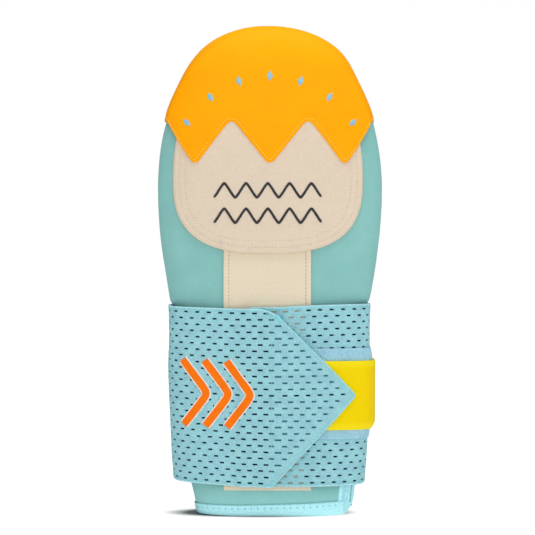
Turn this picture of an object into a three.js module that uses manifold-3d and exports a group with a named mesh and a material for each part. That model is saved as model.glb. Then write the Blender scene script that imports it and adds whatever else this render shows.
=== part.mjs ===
// A sliding mitt: a padded mitten that a base runner wears over one hand, standing on its cuff.
// It is built flat piece by flat piece, as it is sewn: two body panels closed round the hand,
// a gusset and bindings at the cuff, a stiffened hand pad, a centre strip, a toe cap,
// and a perforated wrist band that winds once and a bit round the wrist under a webbing strap.
// Millimetres. +X is the wearer's right seen from the decorated face, -Y is that face, +Z is up.

import * as THREE from 'three';
import { mergeVertices } from 'three/addons/utils/BufferGeometryUtils.js';
import Module from 'manifold-3d';

const wasm = await Module();
wasm.setup();

// Driving dimensions

const seamGap = 0.3; // between any two pieces that are sewn or lie together
const bodyWall = 3; // padded knit body
const sectionPower = 3; // how square the flattened oval sections are
const crownBase = 182; // height of the widest section, where the rounded crown starts
const crownHeight = 90.7;
const crownPower = 2.1;
const crownWall = 4.5; // the body is thicker at the finger tips
const fingerCurl = 7; // how far the finger tips lean away from the decorated face
const curlStart = 100;

// The body's outer sections: half width, depth to the front and to the back, and sideways shift
const bodySections = [
  { z: 0, half: 43.6, front: 15.0, back: 16.0, shift: 2.0 },
  { z: 16, half: 45.6, front: 16.2, back: 16.8, shift: 2.0 },
  { z: 32, half: 49.0, front: 17.4, back: 17.8, shift: 0.8 },
  { z: 50, half: 51.4, front: 18.2, back: 18.6, shift: 0.0 },
  { z: 80, half: 52.6, front: 18.6, back: 19.0, shift: -0.5 },
  { z: 112, half: 53.0, front: 18.5, back: 19.2, shift: -0.5 },
  { z: 118.5, half: 54.0, front: 18.7, back: 19.4, shift: -0.4 },
  { z: 124, half: 56.4, front: 19.1, back: 19.7, shift: 0.0 },
  { z: 137, half: 58.8, front: 18.9, back: 19.5, shift: 0.0 },
  { z: 155, half: 61.4, front: 18.2, back: 19.0, shift: 0.0 },
  { z: 172, half: 62.6, front: 17.3, back: 18.3, shift: 0.0 },
  { z: crownBase, half: 62.8, front: 16.7, back: 17.9, shift: 0.0 },
];

// The line behind the widest section where the two panels are sewn: height, and distance behind
const seamLine = [
  { z: -5, y: 5.5 },
  { z: 120, y: 7.5 },
  { z: 182, y: 9.5 },
  { z: 232, y: 11.0 },
  { z: 258, y: 10.4 },
  { z: 290, y: 9.6 },
];

// The wrist band's inner sections, pulled straighter than the body under it
const bandSections = [
  { z: 14, half: 51.0, front: 19.4, back: 19.4, shift: -0.4 },
  { z: 41, half: 53.1, front: 20.3, back: 20.3, shift: -0.5 },
  { z: 80, half: 54.4, front: 20.7, back: 20.9, shift: -0.5 },
  { z: 120, half: 54.8, front: 20.8, back: 21.2, shift: -0.5 },
];

const padHalfWidth = 52.7;
const padMiddle = 187;
const padDown = 42;
const padUp = 72;
const padDownPower = 2.6;
const padUpPower = 2.2;
const padThickness = 2.2;

const stripLeft = -24.9;
const stripRight = 22.7;
const stripBottom = 14.3;
const stripThickness = 1;

const capThickness = 1.2;
const capToothHalf = 18; // half the width of one of the three teeth
const capToothTip = 193;
const capToothRoot = 219;
const capToothRound = 2.6;
const capSlopeStart = 1.04; // the cap comes down off the pad between these shares
const capSlopeEnd = 1.2; // of the pad's own outline

const bindingHeight = 6.8;
const bindingThickness = 0.9;
const sideBindingWidth = 3.8;

const gussetEdgeAtRim = 38;
const gussetEdgeLean = 0.112; // sideways per millimetre of height
const gussetTop = 100;
const gussetInset = 0.7;
const gussetThickness = 2;

// The gusset's lower corner is rounded off and lifted: the curve's start, bend and end
const gussetCornerStart = [41, 0.2];
const gussetCornerBend = [44.6, 1.6];
const gussetCornerEnd = [47.2, 9.5];

const bandThickness = 1.6;
const bandTop = 117.6;
const bandBottom = 20.2;
const bandTopDip = 1.9; // both edges dip at the middle of the front
const bandBottomDip = 3.4;
const bandStart = 245; // degrees round the wrist, under the band's own end
const oneTurn = 360;
const climbStart = 18; // degrees before an edge below it where the band leaves its first turn
const climbEnd = 3; // and where it has climbed over that edge
const flapCorner = 0.8; // where the pointed end starts, across the front
const flapPoint = 47;
const flapPointHeight = 67.4;
const flapPointWidth = 1.6; // the point is blunt

const loopThickness = 0.6;
const loopWidth = 51;
const strapThickness = 1.2;
const strapWidth = 38.4;
const strapMiddle = 67;
const strapCornerCut = 9;

// Where the loop strip and the strap start and end round the wrist, in degrees
const loopFrom = 284;
const loopTo = 510;
const strapFrom = 288;
const strapTo = 472.5;

const angleStep = 7.5;
const farAway = 90; // beyond every piece, across and in depth
const farUp = 300; // above every piece
const farDown = -9; // below every piece
const frontLimit = 2; // no piece on the decorated face reaches further back
const tolerance = 1e-4;

// Height levels of the body, the last ones as angles up the crown
const bodyHeights = [0, 8, 16, 32, 50, 80, 112, 118.5, 124, 137, 155, 172];
const crownAngles = [0, 14, 28, 41, 53, 64, 74, 83, 90];

const colours = {
  bodyKnit: 0x86c6bf,
  toeCap: 0xfdb008,
  padSuede: 0xe9dac6,
  stripCanvas: 0xe8dbc0,
  bandMesh: 0x93ccd6,
  loopTape: 0x9bc6dc,
  strapWeb: 0xf0d404,
  bindingTape: 0xa6eaf2,
};

// Shape of the body

function interpolate(rows, z, column) {
  const last = rows.length - 1;
  let lower = 0;
  while (lower < last - 1 && z > rows[lower + 1].z) lower += 1;
  const slope = (index) => {
    const before = rows[Math.max(index - 1, 0)];
    const after = rows[Math.min(index + 1, last)];
    return (after[column] - before[column]) / (after.z - before.z);
  };
  const from = rows[lower];
  const to = rows[lower + 1];
  const span = to.z - from.z;
  const t = THREE.MathUtils.clamp((z - from.z) / span, 0, 1);
  const t2 = t * t;
  const t3 = t2 * t;
  return (
    (2 * t3 - 3 * t2 + 1) * from[column] +
    (t3 - 2 * t2 + t) * span * slope(lower) +
    (3 * t2 - 2 * t3) * to[column] +
    (t3 - t2) * span * slope(lower + 1)
  );
}

function sectionAt(rows, z) {
  return {
    half: interpolate(rows, z, 'half'),
    front: interpolate(rows, z, 'front'),
    back: interpolate(rows, z, 'back'),
    shift: interpolate(rows, z, 'shift'),
  };
}

function curlAt(z) {
  const climb = Math.max(0, (z - curlStart) / (crownBase + crownHeight - curlStart));
  return fingerCurl * climb * climb;
}

// A point on a flattened oval. 0 degrees is the right edge, 90 the back and 270 the front.
function ovalPoint(section, z, degrees, offset, spread = 1) {
  const angle = THREE.MathUtils.degToRad(degrees);
  const bend = 2 / sectionPower;
  const across = Math.sign(Math.cos(angle)) * Math.abs(Math.cos(angle)) ** bend;
  const deep = Math.abs(Math.sin(angle)) ** bend;
  const isFront = Math.sin(angle) < 0;
  const depth = isFront ? -(section.front + offset) : section.back + offset;
  return new THREE.Vector3(
    section.shift + (section.half + offset) * spread * across,
    curlAt(z) + depth * spread * deep,
    z,
  );
}

function bodyPoint(level, degrees, offset) {
  if (level.crown === undefined) {
    return ovalPoint(sectionAt(bodySections, level.z), level.z, degrees, offset);
  }
  const climb = THREE.MathUtils.degToRad(level.crown);
  const bend = 2 / crownPower;
  const spread = level.crown === 90 ? 0 : Math.cos(climb) ** bend;
  const rise = offset < 0 ? crownHeight + (offset * crownWall) / bodyWall : crownHeight + offset;
  const z = crownBase + rise * Math.sin(climb) ** bend;
  return ovalPoint(sectionAt(bodySections, crownBase), z, degrees, offset, spread);
}

function crownLevel(crown) {
  const climb = THREE.MathUtils.degToRad(crown);
  return { z: crownBase + crownHeight * Math.sin(climb) ** (2 / crownPower), crown };
}

const bodyLevels = [...bodyHeights.map((z) => ({ z })), ...crownAngles.map(crownLevel)];

// The levels that a piece between two heights needs, from just below it to just above it
function levelsAround(bottom, top = Infinity) {
  const first = bodyLevels.findLastIndex((level) => level.z <= bottom);
  const last = bodyLevels.findIndex((level) => level.z >= top);
  return bodyLevels.slice(first, last < 0 ? undefined : last + 1);
}

// Closed solids from grids of points

function grid(levels, angles, pointAt) {
  return levels.map((level) => angles.map((degrees) => pointAt(level, degrees)));
}

// A wall between two grids of the same size. Rows run upwards and columns turn anticlockwise
// seen from above, so that outer faces point out. A ring's last column meets its first.
function wallGeometry(outer, inner, { ring = false, pole = false } = {}) {
  const rows = outer.length;
  const columns = outer[0].length;
  const positions = [...outer, ...inner].flat().flatMap((p) => [p.x, p.y, p.z]);
  const outerAt = (row, column) => row * columns + (column % columns);
  const innerAt = (row, column) => rows * columns + outerAt(row, column);
  const triangles = [];
  const quad = (a, b, c, d) => triangles.push([a, b, c], [a, c, d]);
  const spans = ring ? columns : columns - 1;
  for (let row = 0; row < rows - 1; row += 1) {
    for (let column = 0; column < spans; column += 1) {
      const next = column + 1;
      quad(outerAt(row, column), outerAt(row, next), outerAt(row + 1, next), outerAt(row + 1, column));
      quad(innerAt(row, column), innerAt(row + 1, column), innerAt(row + 1, next), innerAt(row, next));
    }
  }
  for (let column = 0; column < spans; column += 1) {
    const next = column + 1;
    quad(innerAt(0, column), innerAt(0, next), outerAt(0, next), outerAt(0, column));
    if (!pole) {
      const top = rows - 1;
      quad(outerAt(top, column), outerAt(top, next), innerAt(top, next), innerAt(top, column));
    }
  }
  if (!ring) {
    const end = columns - 1;
    for (let row = 0; row < rows - 1; row += 1) {
      quad(outerAt(row, 0), outerAt(row + 1, 0), innerAt(row + 1, 0), innerAt(row, 0));
      quad(outerAt(row, end), innerAt(row, end), innerAt(row + 1, end), outerAt(row + 1, end));
    }
  }
  const geometry = new THREE.BufferGeometry();
  geometry.setAttribute('position', new THREE.Float32BufferAttribute(positions, 3));
  geometry.setIndex(triangles.flat());
  return geometry;
}

function toSolid(geometry) {
  const bare = new THREE.BufferGeometry();
  bare.setAttribute('position', geometry.getAttribute('position'));
  if (geometry.index) bare.setIndex(geometry.index);
  const merged = mergeVertices(bare, tolerance);
  const corners = merged.index.array;
  const kept = [];
  for (let i = 0; i < corners.length; i += 3) {
    const [a, b, c] = [corners[i], corners[i + 1], corners[i + 2]];
    if (a !== b && b !== c && c !== a) kept.push(a, b, c);
  }
  return new wasm.Manifold(
    new wasm.Mesh({
      numProp: 3,
      vertProperties: new Float32Array(merged.getAttribute('position').array),
      triVerts: new Uint32Array(kept),
    }),
  );
}

function toGeometry(solid) {
  const mesh = solid.getMesh();
  const geometry = new THREE.BufferGeometry();
  geometry.setAttribute('position', new THREE.BufferAttribute(mesh.vertProperties, 3));
  geometry.setIndex(new THREE.BufferAttribute(mesh.triVerts, 1));
  geometry.computeVertexNormals();
  return geometry;
}

// A prism of an outline drawn across and up, running through the depths given
function frontPrism(outline, fromDepth = -farAway, toDepth = farAway) {
  const depth = toDepth - fromDepth;
  const geometry = new THREE.ExtrudeGeometry(outline, { depth, bevelEnabled: false, curveSegments: 4 });
  geometry.rotateX(Math.PI / 2);
  geometry.translate(0, toDepth, 0);
  return toSolid(geometry);
}

// A prism of an outline drawn in depth and up, running right across the mitt
function sidePrism(outline) {
  const geometry = new THREE.ExtrudeGeometry(outline, { depth: 2 * farAway, bevelEnabled: false });
  const axes = [new THREE.Vector3(0, 1, 0), new THREE.Vector3(0, 0, 1), new THREE.Vector3(1, 0, 0)];
  geometry.applyMatrix4(new THREE.Matrix4().makeBasis(...axes));
  geometry.translate(-farAway, 0, 0);
  return toSolid(geometry);
}

function polygon(points) {
  return new THREE.Shape(points.map(([across, up]) => new THREE.Vector2(across, up)));
}

const fullTurn = Array.from({ length: oneTurn / angleStep }, (_, i) => i * angleStep);

function bodyLayer(levels, innerOffset, outerOffset, options) {
  return toSolid(
    wallGeometry(
      grid(levels, fullTurn, (level, degrees) => bodyPoint(level, degrees, outerOffset)),
      grid(levels, fullTurn, (level, degrees) => bodyPoint(level, degrees, innerOffset)),
      { ring: true, ...options },
    ),
  );
}

// Everything behind the sewn line, moved back by a clearance
function behindSeam(clearance) {
  const line = seamLine.map(({ z, y }) => [y + clearance, z]);
  const [bottom, top] = [line[0][1], line.at(-1)[1]];
  return sidePrism(polygon([...line, [farAway, top], [farAway, bottom]]));
}

const frontSheet = polygon([
  [-farAway, farDown],
  [farAway, farDown],
  [farAway, farUp],
  [-farAway, farUp],
]);
const frontHalf = frontPrism(frontSheet, -farAway, frontLimit);

// The gusset and the edges beside it

const gussetEdgeAt = (z) => gussetEdgeAtRim + gussetEdgeLean * z;

function gussetZone(clearance) {
  return frontPrism(
    polygon([
      [gussetEdgeAt(farDown) + clearance, farDown],
      [farAway, farDown],
      [farAway, gussetTop - clearance],
      [gussetEdgeAt(gussetTop) + clearance, gussetTop - clearance],
    ]),
  );
}

function sideGusset() {
  const layer = bodyLayer(levelsAround(0, gussetTop), -gussetInset - gussetThickness, -gussetInset);
  const cornerRoom = new THREE.Shape();
  cornerRoom.moveTo(gussetCornerStart[0], farDown);
  cornerRoom.lineTo(...gussetCornerStart);
  cornerRoom.quadraticCurveTo(...gussetCornerBend, ...gussetCornerEnd);
  cornerRoom.lineTo(farAway, gussetCornerEnd[1]);
  cornerRoom.lineTo(farAway, farDown);
  return layer.intersect(gussetZone(seamGap)).subtract(frontPrism(cornerRoom));
}

function sideBinding(isFront) {
  const bottom = bindingHeight + seamGap;
  const top = gussetTop - sideBindingWidth;
  const layer = bodyLayer(levelsAround(bottom, top), seamGap, seamGap + bindingThickness);
  const strip = polygon([
    [gussetEdgeAt(bottom) - sideBindingWidth, bottom],
    [gussetEdgeAt(bottom), bottom],
    [gussetEdgeAt(top), top],
    [gussetEdgeAt(top) - sideBindingWidth, top],
  ]);
  return layer.intersect(isFront ? frontPrism(strip, -farAway, 0) : frontPrism(strip, 0, farAway));
}

function rimBinding() {
  const legLevels = [{ z: 0 }, { z: bindingHeight }];
  const soleLevels = [{ z: 0 }, { z: bindingThickness }];
  const innerFace = -bodyWall - seamGap;
  const outerLeg = bodyLayer(legLevels, seamGap, seamGap + bindingThickness);
  const innerLeg = bodyLayer(legLevels, innerFace - bindingThickness, innerFace);
  const sole = bodyLayer(soleLevels, innerFace - bindingThickness, seamGap + bindingThickness);
  return outerLeg.add(innerLeg).add(sole).subtract(gussetZone(0));
}

// The body panels

const bodyStart = bindingThickness + seamGap;
const panelLevels = [{ z: bodyStart }, ...bodyLevels.filter((level) => level.z !== 0)];
const wholeBody = bodyLayer(panelLevels, -bodyWall, 0, { pole: true }).subtract(gussetZone(0));

const frontPanel = () => wholeBody.subtract(behindSeam(0));
const backPanel = () => wholeBody.intersect(behindSeam(seamGap));

// The pieces laid on the decorated face

function padOutline(growth) {
  const points = [];
  const count = 56;
  for (let i = 0; i < count; i += 1) {
    const angle = (2 * Math.PI * i) / count;
    const isUp = Math.sin(angle) > 0;
    const bend = 2 / (isUp ? padUpPower : padDownPower);
    const reach = (isUp ? padUp : -padDown) + (isUp ? growth : -growth);
    points.push([
      (padHalfWidth + growth) * Math.sign(Math.cos(angle)) * Math.abs(Math.cos(angle)) ** bend,
      padMiddle + reach * Math.abs(Math.sin(angle)) ** bend,
    ]);
  }
  return polygon(points);
}

function handPad() {
  const levels = levelsAround(padMiddle - padDown);
  const layer = bodyLayer(levels, seamGap, seamGap + padThickness, { pole: true });
  return layer.intersect(frontPrism(padOutline(0))).intersect(frontHalf);
}

function centerStrip() {
  const top = padMiddle - padDown - seamGap;
  const layer = bodyLayer(levelsAround(stripBottom, top), seamGap, seamGap + stripThickness);
  const outline = polygon([
    [stripLeft, stripBottom],
    [stripRight, stripBottom],
    [stripRight, top],
    [stripLeft, top],
  ]);
  return layer.intersect(frontPrism(outline)).intersect(frontHalf);
}

// 1 well inside the pad's outline, 0 well outside it
function padCover(x, z) {
  const isUp = z > padMiddle;
  const power = isUp ? padUpPower : padDownPower;
  const reach = isUp ? padUp : padDown;
  const ratio = Math.abs(x / padHalfWidth) ** power + Math.abs((z - padMiddle) / reach) ** power;
  return 1 - THREE.MathUtils.smoothstep(ratio ** (1 / power), capSlopeStart, capSlopeEnd);
}

// The toe cap's lower edge is three plain teeth with rounded tips and roots
function capOutline() {
  const round = capToothRound;
  const slope = (capToothRoot - capToothTip) / capToothHalf;
  const outline = new THREE.Shape();
  outline.moveTo(-farAway, farUp);
  outline.lineTo(-farAway, capToothRoot);
  for (const turn of [-3, -2, -1, 0, 1, 2, 3]) {
    const x = turn * capToothHalf;
    const isTip = turn % 2 === 0;
    const height = isTip ? capToothTip : capToothRoot;
    const back = isTip ? height + slope * round : height - slope * round;
    const isFirst = turn === -3;
    const isLast = turn === 3;
    outline.lineTo(x - round, isFirst ? height : back);
    outline.quadraticCurveTo(x, height, x + round, isLast ? height : back);
  }
  outline.lineTo(farAway, capToothRoot);
  outline.lineTo(farAway, farUp);
  return outline;
}

function toeCap() {
  const levels = levelsAround(capToothTip);
  const overPad = padThickness + seamGap;
  const outerPoint = (level, degrees) => {
    const flat = bodyPoint(level, degrees, 0);
    const isFront = Math.sin(THREE.MathUtils.degToRad(degrees)) < 0;
    const lift = isFront ? overPad * padCover(flat.x, flat.z) : 0;
    return bodyPoint(level, degrees, seamGap + capThickness + lift);
  };
  const layer = toSolid(
    wallGeometry(
      grid(levels, fullTurn, outerPoint),
      grid(levels, fullTurn, (level, degrees) => bodyPoint(level, degrees, seamGap)),
      { ring: true, pole: true },
    ),
  );
  const padRoom = bodyLayer(levels, -bodyWall, overPad + seamGap, { pole: true })
    .intersect(frontPrism(padOutline(seamGap)))
    .intersect(frontHalf);
  return layer.intersect(frontPrism(capOutline())).subtract(behindSeam(0)).subtract(padRoom);
}

// The wrist band and what is on it

function turnAngles(from, to) {
  const count = Math.round((to - from) / angleStep);
  return Array.from({ length: count + 1 }, (_, i) => from + ((to - from) * i) / count);
}

// 1 at the middle of the front, 0 at the sides and the back
function frontness(degrees) {
  const sine = Math.sin(THREE.MathUtils.degToRad(degrees));
  return sine < 0 ? sine * sine : 0;
}

const underStrap = bandThickness + seamGap;
const overLoop = underStrap + loopThickness + seamGap;
const overStrap = overLoop + strapThickness + seamGap;

// How far the band stands off its inner sections along its one and a quarter turns
function bandOffset(degrees) {
  const climbOver = (edge) => {
    const above = edge + oneTurn;
    return THREE.MathUtils.smoothstep(degrees, above - climbStart, above - climbEnd);
  };
  return underStrap * climbOver(bandStart) + (overStrap - underStrap) * climbOver(loopFrom);
}

function bandPoint(z, degrees, offset) {
  return ovalPoint(sectionAt(bandSections, z), z, degrees, offset);
}

// The angle on the second turn at which the band's face is that far across the front
function flapAngle(across) {
  let low = 1.5 * oneTurn;
  let high = 2 * oneTurn;
  while (high - low > tolerance) {
    const middle = (low + high) / 2;
    const point = bandPoint(flapPointHeight, middle, bandOffset(middle) + bandThickness);
    if (point.x < across) low = middle;
    else high = middle;
  }
  return low;
}

function bandHeights(degrees) {
  const top = bandTop - bandTopDip * frontness(degrees);
  const bottom = bandBottom - bandBottomDip * frontness(degrees);
  if (degrees <= 1.5 * oneTurn) return { bottom, top };
  const across = bandPoint(flapPointHeight, degrees, bandOffset(degrees) + bandThickness).x;
  const taper = THREE.MathUtils.clamp((across - flapCorner) / (flapPoint - flapCorner), 0, 1);
  const half = flapPointWidth / 2;
  return {
    bottom: THREE.MathUtils.lerp(bottom, flapPointHeight - half, taper),
    top: THREE.MathUtils.lerp(top, flapPointHeight + half, taper),
  };
}

function wristBand() {
  const rowShares = [0, 0.25, 0.5, 0.75, 1];
  const corner = flapAngle(flapCorner);
  const angles = [...turnAngles(bandStart, corner), ...turnAngles(corner, flapAngle(flapPoint)).slice(1)];
  const face = (offset) =>
    grid(rowShares, angles, (share, degrees) => {
      const { bottom, top } = bandHeights(degrees);
      return bandPoint(THREE.MathUtils.lerp(bottom, top, share), degrees, bandOffset(degrees) + offset);
    });
  return toSolid(wallGeometry(face(bandThickness), face(0)));
}

// A strip that lies round the wrist between two angles, over the band's first turn
function wristStrip(from, to, width, innerOffset, thickness) {
  const heights = [-width / 2, 0, width / 2].map((up) => strapMiddle + up);
  const face = (offset) =>
    grid(heights, turnAngles(from, to), (z, degrees) => bandPoint(z, degrees, offset));
  return toSolid(wallGeometry(face(innerOffset + thickness), face(innerOffset)));
}

const loopStrip = () => wristStrip(loopFrom, loopTo, loopWidth, underStrap, loopThickness);

function pullStrap() {
  const strap = wristStrip(strapFrom, strapTo, strapWidth, overLoop, strapThickness);
  const end = bandPoint(strapMiddle, strapTo, overLoop + strapThickness).x;
  const cut = strapCornerCut;
  const corners = [-1, 1].map((side) => {
    const edge = strapMiddle + (side * strapWidth) / 2;
    const outside = edge + side * cut;
    const inside = edge - side * cut;
    const outline = [
      [end - cut, inside],
      [end, inside],
      [end + cut, edge],
      [end + cut, outside],
      [end - cut, outside],
    ];
    return frontPrism(polygon(side > 0 ? outline : outline.reverse()), 0, farAway);
  });
  return corners.reduce((left, corner) => left.subtract(corner), strap);
}

// The assembled mitt

function piece(name, solid, colour, roughness) {
  const material = new THREE.MeshStandardMaterial({ color: colour, roughness, metalness: 0 });
  const mesh = new THREE.Mesh(toGeometry(solid), material);
  mesh.name = name;
  return mesh;
}

const mitt = new THREE.Group();
mitt.add(
  piece('front_panel', frontPanel(), colours.bodyKnit, 0.85),
  piece('back_panel', backPanel(), colours.bodyKnit, 0.85),
  piece('side_gusset', sideGusset(), colours.bindingTape, 0.9),
  piece('side_binding_front', sideBinding(true), colours.bindingTape, 0.8),
  piece('side_binding_back', sideBinding(false), colours.bindingTape, 0.8),
  piece('rim_binding', rimBinding(), colours.bindingTape, 0.8),
  piece('center_strip', centerStrip(), colours.stripCanvas, 0.9),
  piece('hand_pad', handPad(), colours.padSuede, 0.9),
  piece('toe_cap', toeCap(), colours.toeCap, 0.55),
  piece('wrist_band', wristBand(), colours.bandMesh, 0.9),
  piece('loop_strip', loopStrip(), colours.loopTape, 0.95),
  piece('pull_strap', pullStrap(), colours.strapWeb, 0.7),
);

// The origin goes under the middle of the whole mitt, on the surface that it stands on
const extent = new THREE.Box3().setFromObject(mitt);
const middle = extent.getCenter(new THREE.Vector3());
mitt.position.set(-middle.x, -middle.y, -extent.min.z);

export default mitt;
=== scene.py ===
# Sliding mitt: cloth, leather, mesh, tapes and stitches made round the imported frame.
# Each piece is cut flat, in millimetres across, up and in thickness, and then laid on the mitt.
import math
from functools import lru_cache

import bpy
import numpy as np
from mathutils import Matrix, Vector, noise


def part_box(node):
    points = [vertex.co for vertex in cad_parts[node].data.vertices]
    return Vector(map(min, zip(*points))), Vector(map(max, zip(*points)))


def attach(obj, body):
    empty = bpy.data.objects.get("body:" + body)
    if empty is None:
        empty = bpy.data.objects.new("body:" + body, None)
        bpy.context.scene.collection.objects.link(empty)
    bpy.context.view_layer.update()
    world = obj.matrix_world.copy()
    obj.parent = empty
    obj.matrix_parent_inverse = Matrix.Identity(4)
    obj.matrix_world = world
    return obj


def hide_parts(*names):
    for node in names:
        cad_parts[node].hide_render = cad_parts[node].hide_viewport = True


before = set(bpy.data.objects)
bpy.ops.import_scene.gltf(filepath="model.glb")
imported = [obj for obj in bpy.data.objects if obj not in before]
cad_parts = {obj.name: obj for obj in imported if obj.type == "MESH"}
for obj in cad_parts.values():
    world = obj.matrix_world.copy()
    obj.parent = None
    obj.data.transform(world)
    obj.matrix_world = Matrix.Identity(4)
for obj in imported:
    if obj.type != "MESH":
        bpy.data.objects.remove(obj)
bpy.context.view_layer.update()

mm = 0.001
print("frame loaded:", len(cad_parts), "nodes")

# Camera: level with the middle of the mitt, in front of the decorated face

view = {
    "place": (-0.0013, -1.0, 0.1375),
    "lens": 120,
}


def addCamera():
    data = bpy.data.cameras.new("camera")
    data.lens = view["lens"]
    data.sensor_width = 36
    data.clip_start = 0.01
    camera = bpy.data.objects.new("camera", data)
    camera.location = view["place"]
    camera.rotation_euler = (math.pi / 2, 0, 0)
    bpy.context.collection.objects.link(camera)
    bpy.context.scene.camera = camera


addCamera()

# The mitt's form in millimetres, close to the frame's

form = {
    "power": 3.0,  # how square the flattened sections are
    "bandPower": 3.8,
    "crownBase": 182.0,
    "crownHeight": 90.7,
    "crownPower": 2.1,
    "wall": 3.0,
    "crownWall": 4.5,
    "curl": 7.0,
    "curlStart": 100.0,
    "gap": 0.3,
    "rimWall": 0.9,
    "toeFullness": 0.14,  # how much wider the padding makes the top
    "fullFrom": 0.6,  # the share of the crown's height from which it does
}
unevenness = {
    "waves": ((0.5, 34), (0.14, 12)),  # height and length of the cloth's soft waves
    "fromCuff": (5, 22),  # they grow between these heights
    "halves": (55, 19, 91),  # the body's half sizes, for the way outwards
}

# Height, half width, depth to the front, depth to the back, sideways shift
bodySections = [
    (0, 43.1, 15.0, 16.0, 3.1),
    (16, 46.1, 16.2, 16.8, 2.5),
    (32, 49.2, 17.4, 17.8, 1.0),
    (50, 51.4, 18.2, 18.6, 0.0),
    (80, 52.6, 18.6, 19.0, -0.5),
    (112, 53.0, 18.5, 19.2, -0.5),
    (116, 53.6, 18.6, 19.3, -0.4),
    (117.6, 54.8, 18.7, 19.4, -0.3),
    (118.8, 55.7, 18.8, 19.5, -0.2),
    (124, 56.7, 19.1, 19.7, 0.0),
    (137, 58.8, 18.9, 19.5, 0.0),
    (155, 61.4, 18.2, 19.0, 0.0),
    (172, 62.6, 17.3, 18.3, 0.0),
    (182, 62.8, 16.7, 17.9, 0.0),
]
bandSections = [
    (14, 51.0, 19.4, 19.4, -0.4),
    (41, 53.1, 20.3, 20.3, -0.5),
    (80, 54.4, 20.7, 20.9, -0.5),
    (100, 54.2, 20.7, 21.0, -0.5),
    (120, 54.8, 20.8, 21.2, -0.5),
]

# Height of the seam between the two panels, and how far back it lies
seamLine = [(-5, 5.5), (120, 7.5), (182, 9.5), (232, 11.0), (258, 10.4), (290, 9.6)]
tables = {"body": bodySections, "band": bandSections, "seam": seamLine}

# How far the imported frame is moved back, so that its origin is under the middle
rimFront = bodySections[0][2] + form["gap"] + form["rimWall"]
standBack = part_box("rim_binding")[0][1] / mm + rimFront


def clamp(value, low=0.0, high=1.0):
    return min(max(value, low), high)


def smooth(value, low, high):
    share = clamp((value - low) / (high - low))
    return share * share * (3 - 2 * share)


def hump(distance, width):
    return math.exp(-((distance / width) ** 2))


def halve(low, high, isBelow, steps=24):
    # Finds by halving where a test stops being true between two values
    for _ in range(steps):
        middle = (low + high) / 2
        if isBelow(middle):
            low = middle
        else:
            high = middle
    return low


@lru_cache(maxsize=None)
def tableRow(table, z):
    rows = tables[table]
    last = len(rows) - 1
    low = 0
    while low < last - 1 and z > rows[low + 1][0]:
        low += 1
    start, end = rows[low], rows[low + 1]
    span = end[0] - start[0]
    t = clamp((z - start[0]) / span)

    def slope(row, column):
        before, after = rows[max(row - 1, 0)], rows[min(row + 1, last)]
        return (after[column] - before[column]) / (after[0] - before[0])

    def value(column):
        return (
            (2 * t**3 - 3 * t**2 + 1) * start[column]
            + (t**3 - 2 * t**2 + t) * span * slope(low, column)
            + (3 * t**2 - 2 * t**3) * end[column]
            + (t**3 - t**2) * span * slope(low + 1, column)
        )

    return tuple(value(column) for column in range(1, len(start)))


def curlAt(z):
    top = form["crownBase"] + form["crownHeight"]
    return form["curl"] * max(0, (z - form["curlStart"]) / (top - form["curlStart"])) ** 2


def crownSpread(climb):
    # How wide the crown still is at a share of its height
    spread = max(1 - climb ** form["crownPower"], 0) ** (1 / form["crownPower"])
    return spread * (1 + form["toeFullness"] * smooth(climb, form["fullFrom"], 1.0))


def bodyAt(z, lift):
    half, front, back, shift = tableRow("body", round(min(z, form["crownBase"]), 2))
    spread = 1
    if z > form["crownBase"]:
        rise = form["crownHeight"] + lift * (form["crownWall"] / form["wall"] if lift < 0 else 1)
        spread = crownSpread(clamp((z - form["crownBase"]) / rise))
    widths = (half + lift) * spread, (front + lift) * spread, (back + lift) * spread
    return (*widths, shift, curlAt(z), form["power"])


def ringPoint(section, turn):
    half, front, back, shift, middle, power = section
    if half < 1e-6:
        return shift, middle
    angle = math.radians(turn)
    across, deep = math.cos(angle), math.sin(angle)
    depth = back if deep >= 0 else front
    reach = (abs(across / half) ** power + abs(deep / depth) ** power) ** (-1 / power)
    return shift + reach * across, middle + reach * deep


def ringPlace(turn, z, lift):
    # Turn 0 is the right edge, 90 the back and 270 the decorated face
    x, y = ringPoint(bodyAt(z, lift), turn)
    return Vector((x, y, z))


def facePlace(x, z, lift):
    half, front, back, shift, middle, power = bodyAt(z, lift)
    share = clamp(abs(x - shift) / max(half, 1e-6))
    return Vector((x, middle - front * (1 - share**power) ** (1 / power), z))


def toScene(point):
    # Millimetres on the mitt to metres in the frame, with the soft unevenness of sewn cloth
    x, y, z = point
    across, deep, tall = unevenness["halves"]
    outward = Vector((x / across**2, (y - curlAt(z)) / deep**2, max(0, z - form["crownBase"]) / tall**2))
    if outward.length > 1e-9:
        outward.normalize()
    wave = sum(height * noise.noise(point / length) for height, length in unevenness["waves"])
    wave *= smooth(z, *unevenness["fromCuff"])
    return Vector((x + outward.x * wave, y + outward.y * wave + standBack, z + outward.z * wave)) * mm


# Making, laying and finishing pieces

root = "root"
cutUnit = 100  # millimetres of a flat cut to one unit of its UV map
nudge = 0.05  # how far to the side a seam looks for the cloth's slope
lookAhead = 0.2  # how far along its path it looks for its direction
thinnest = 0.03  # the least share of its size that a thinning wall or line keeps
ribbonGirth = 3  # how many millimetres of a ribbon's UV map go round its profile


def clearSelection():
    if bpy.context.object and bpy.context.object.mode != "OBJECT":
        bpy.ops.object.mode_set(mode="OBJECT")
    bpy.ops.object.select_all(action="DESELECT")


def activate(piece):
    clearSelection()
    piece.select_set(True)
    bpy.context.view_layer.objects.active = piece


def editAll(piece):
    activate(piece)
    bpy.ops.object.mode_set(mode="EDIT")
    bpy.ops.mesh.select_all(action="SELECT")


def leaveEdit():
    bpy.ops.object.mode_set(mode="OBJECT")


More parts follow.
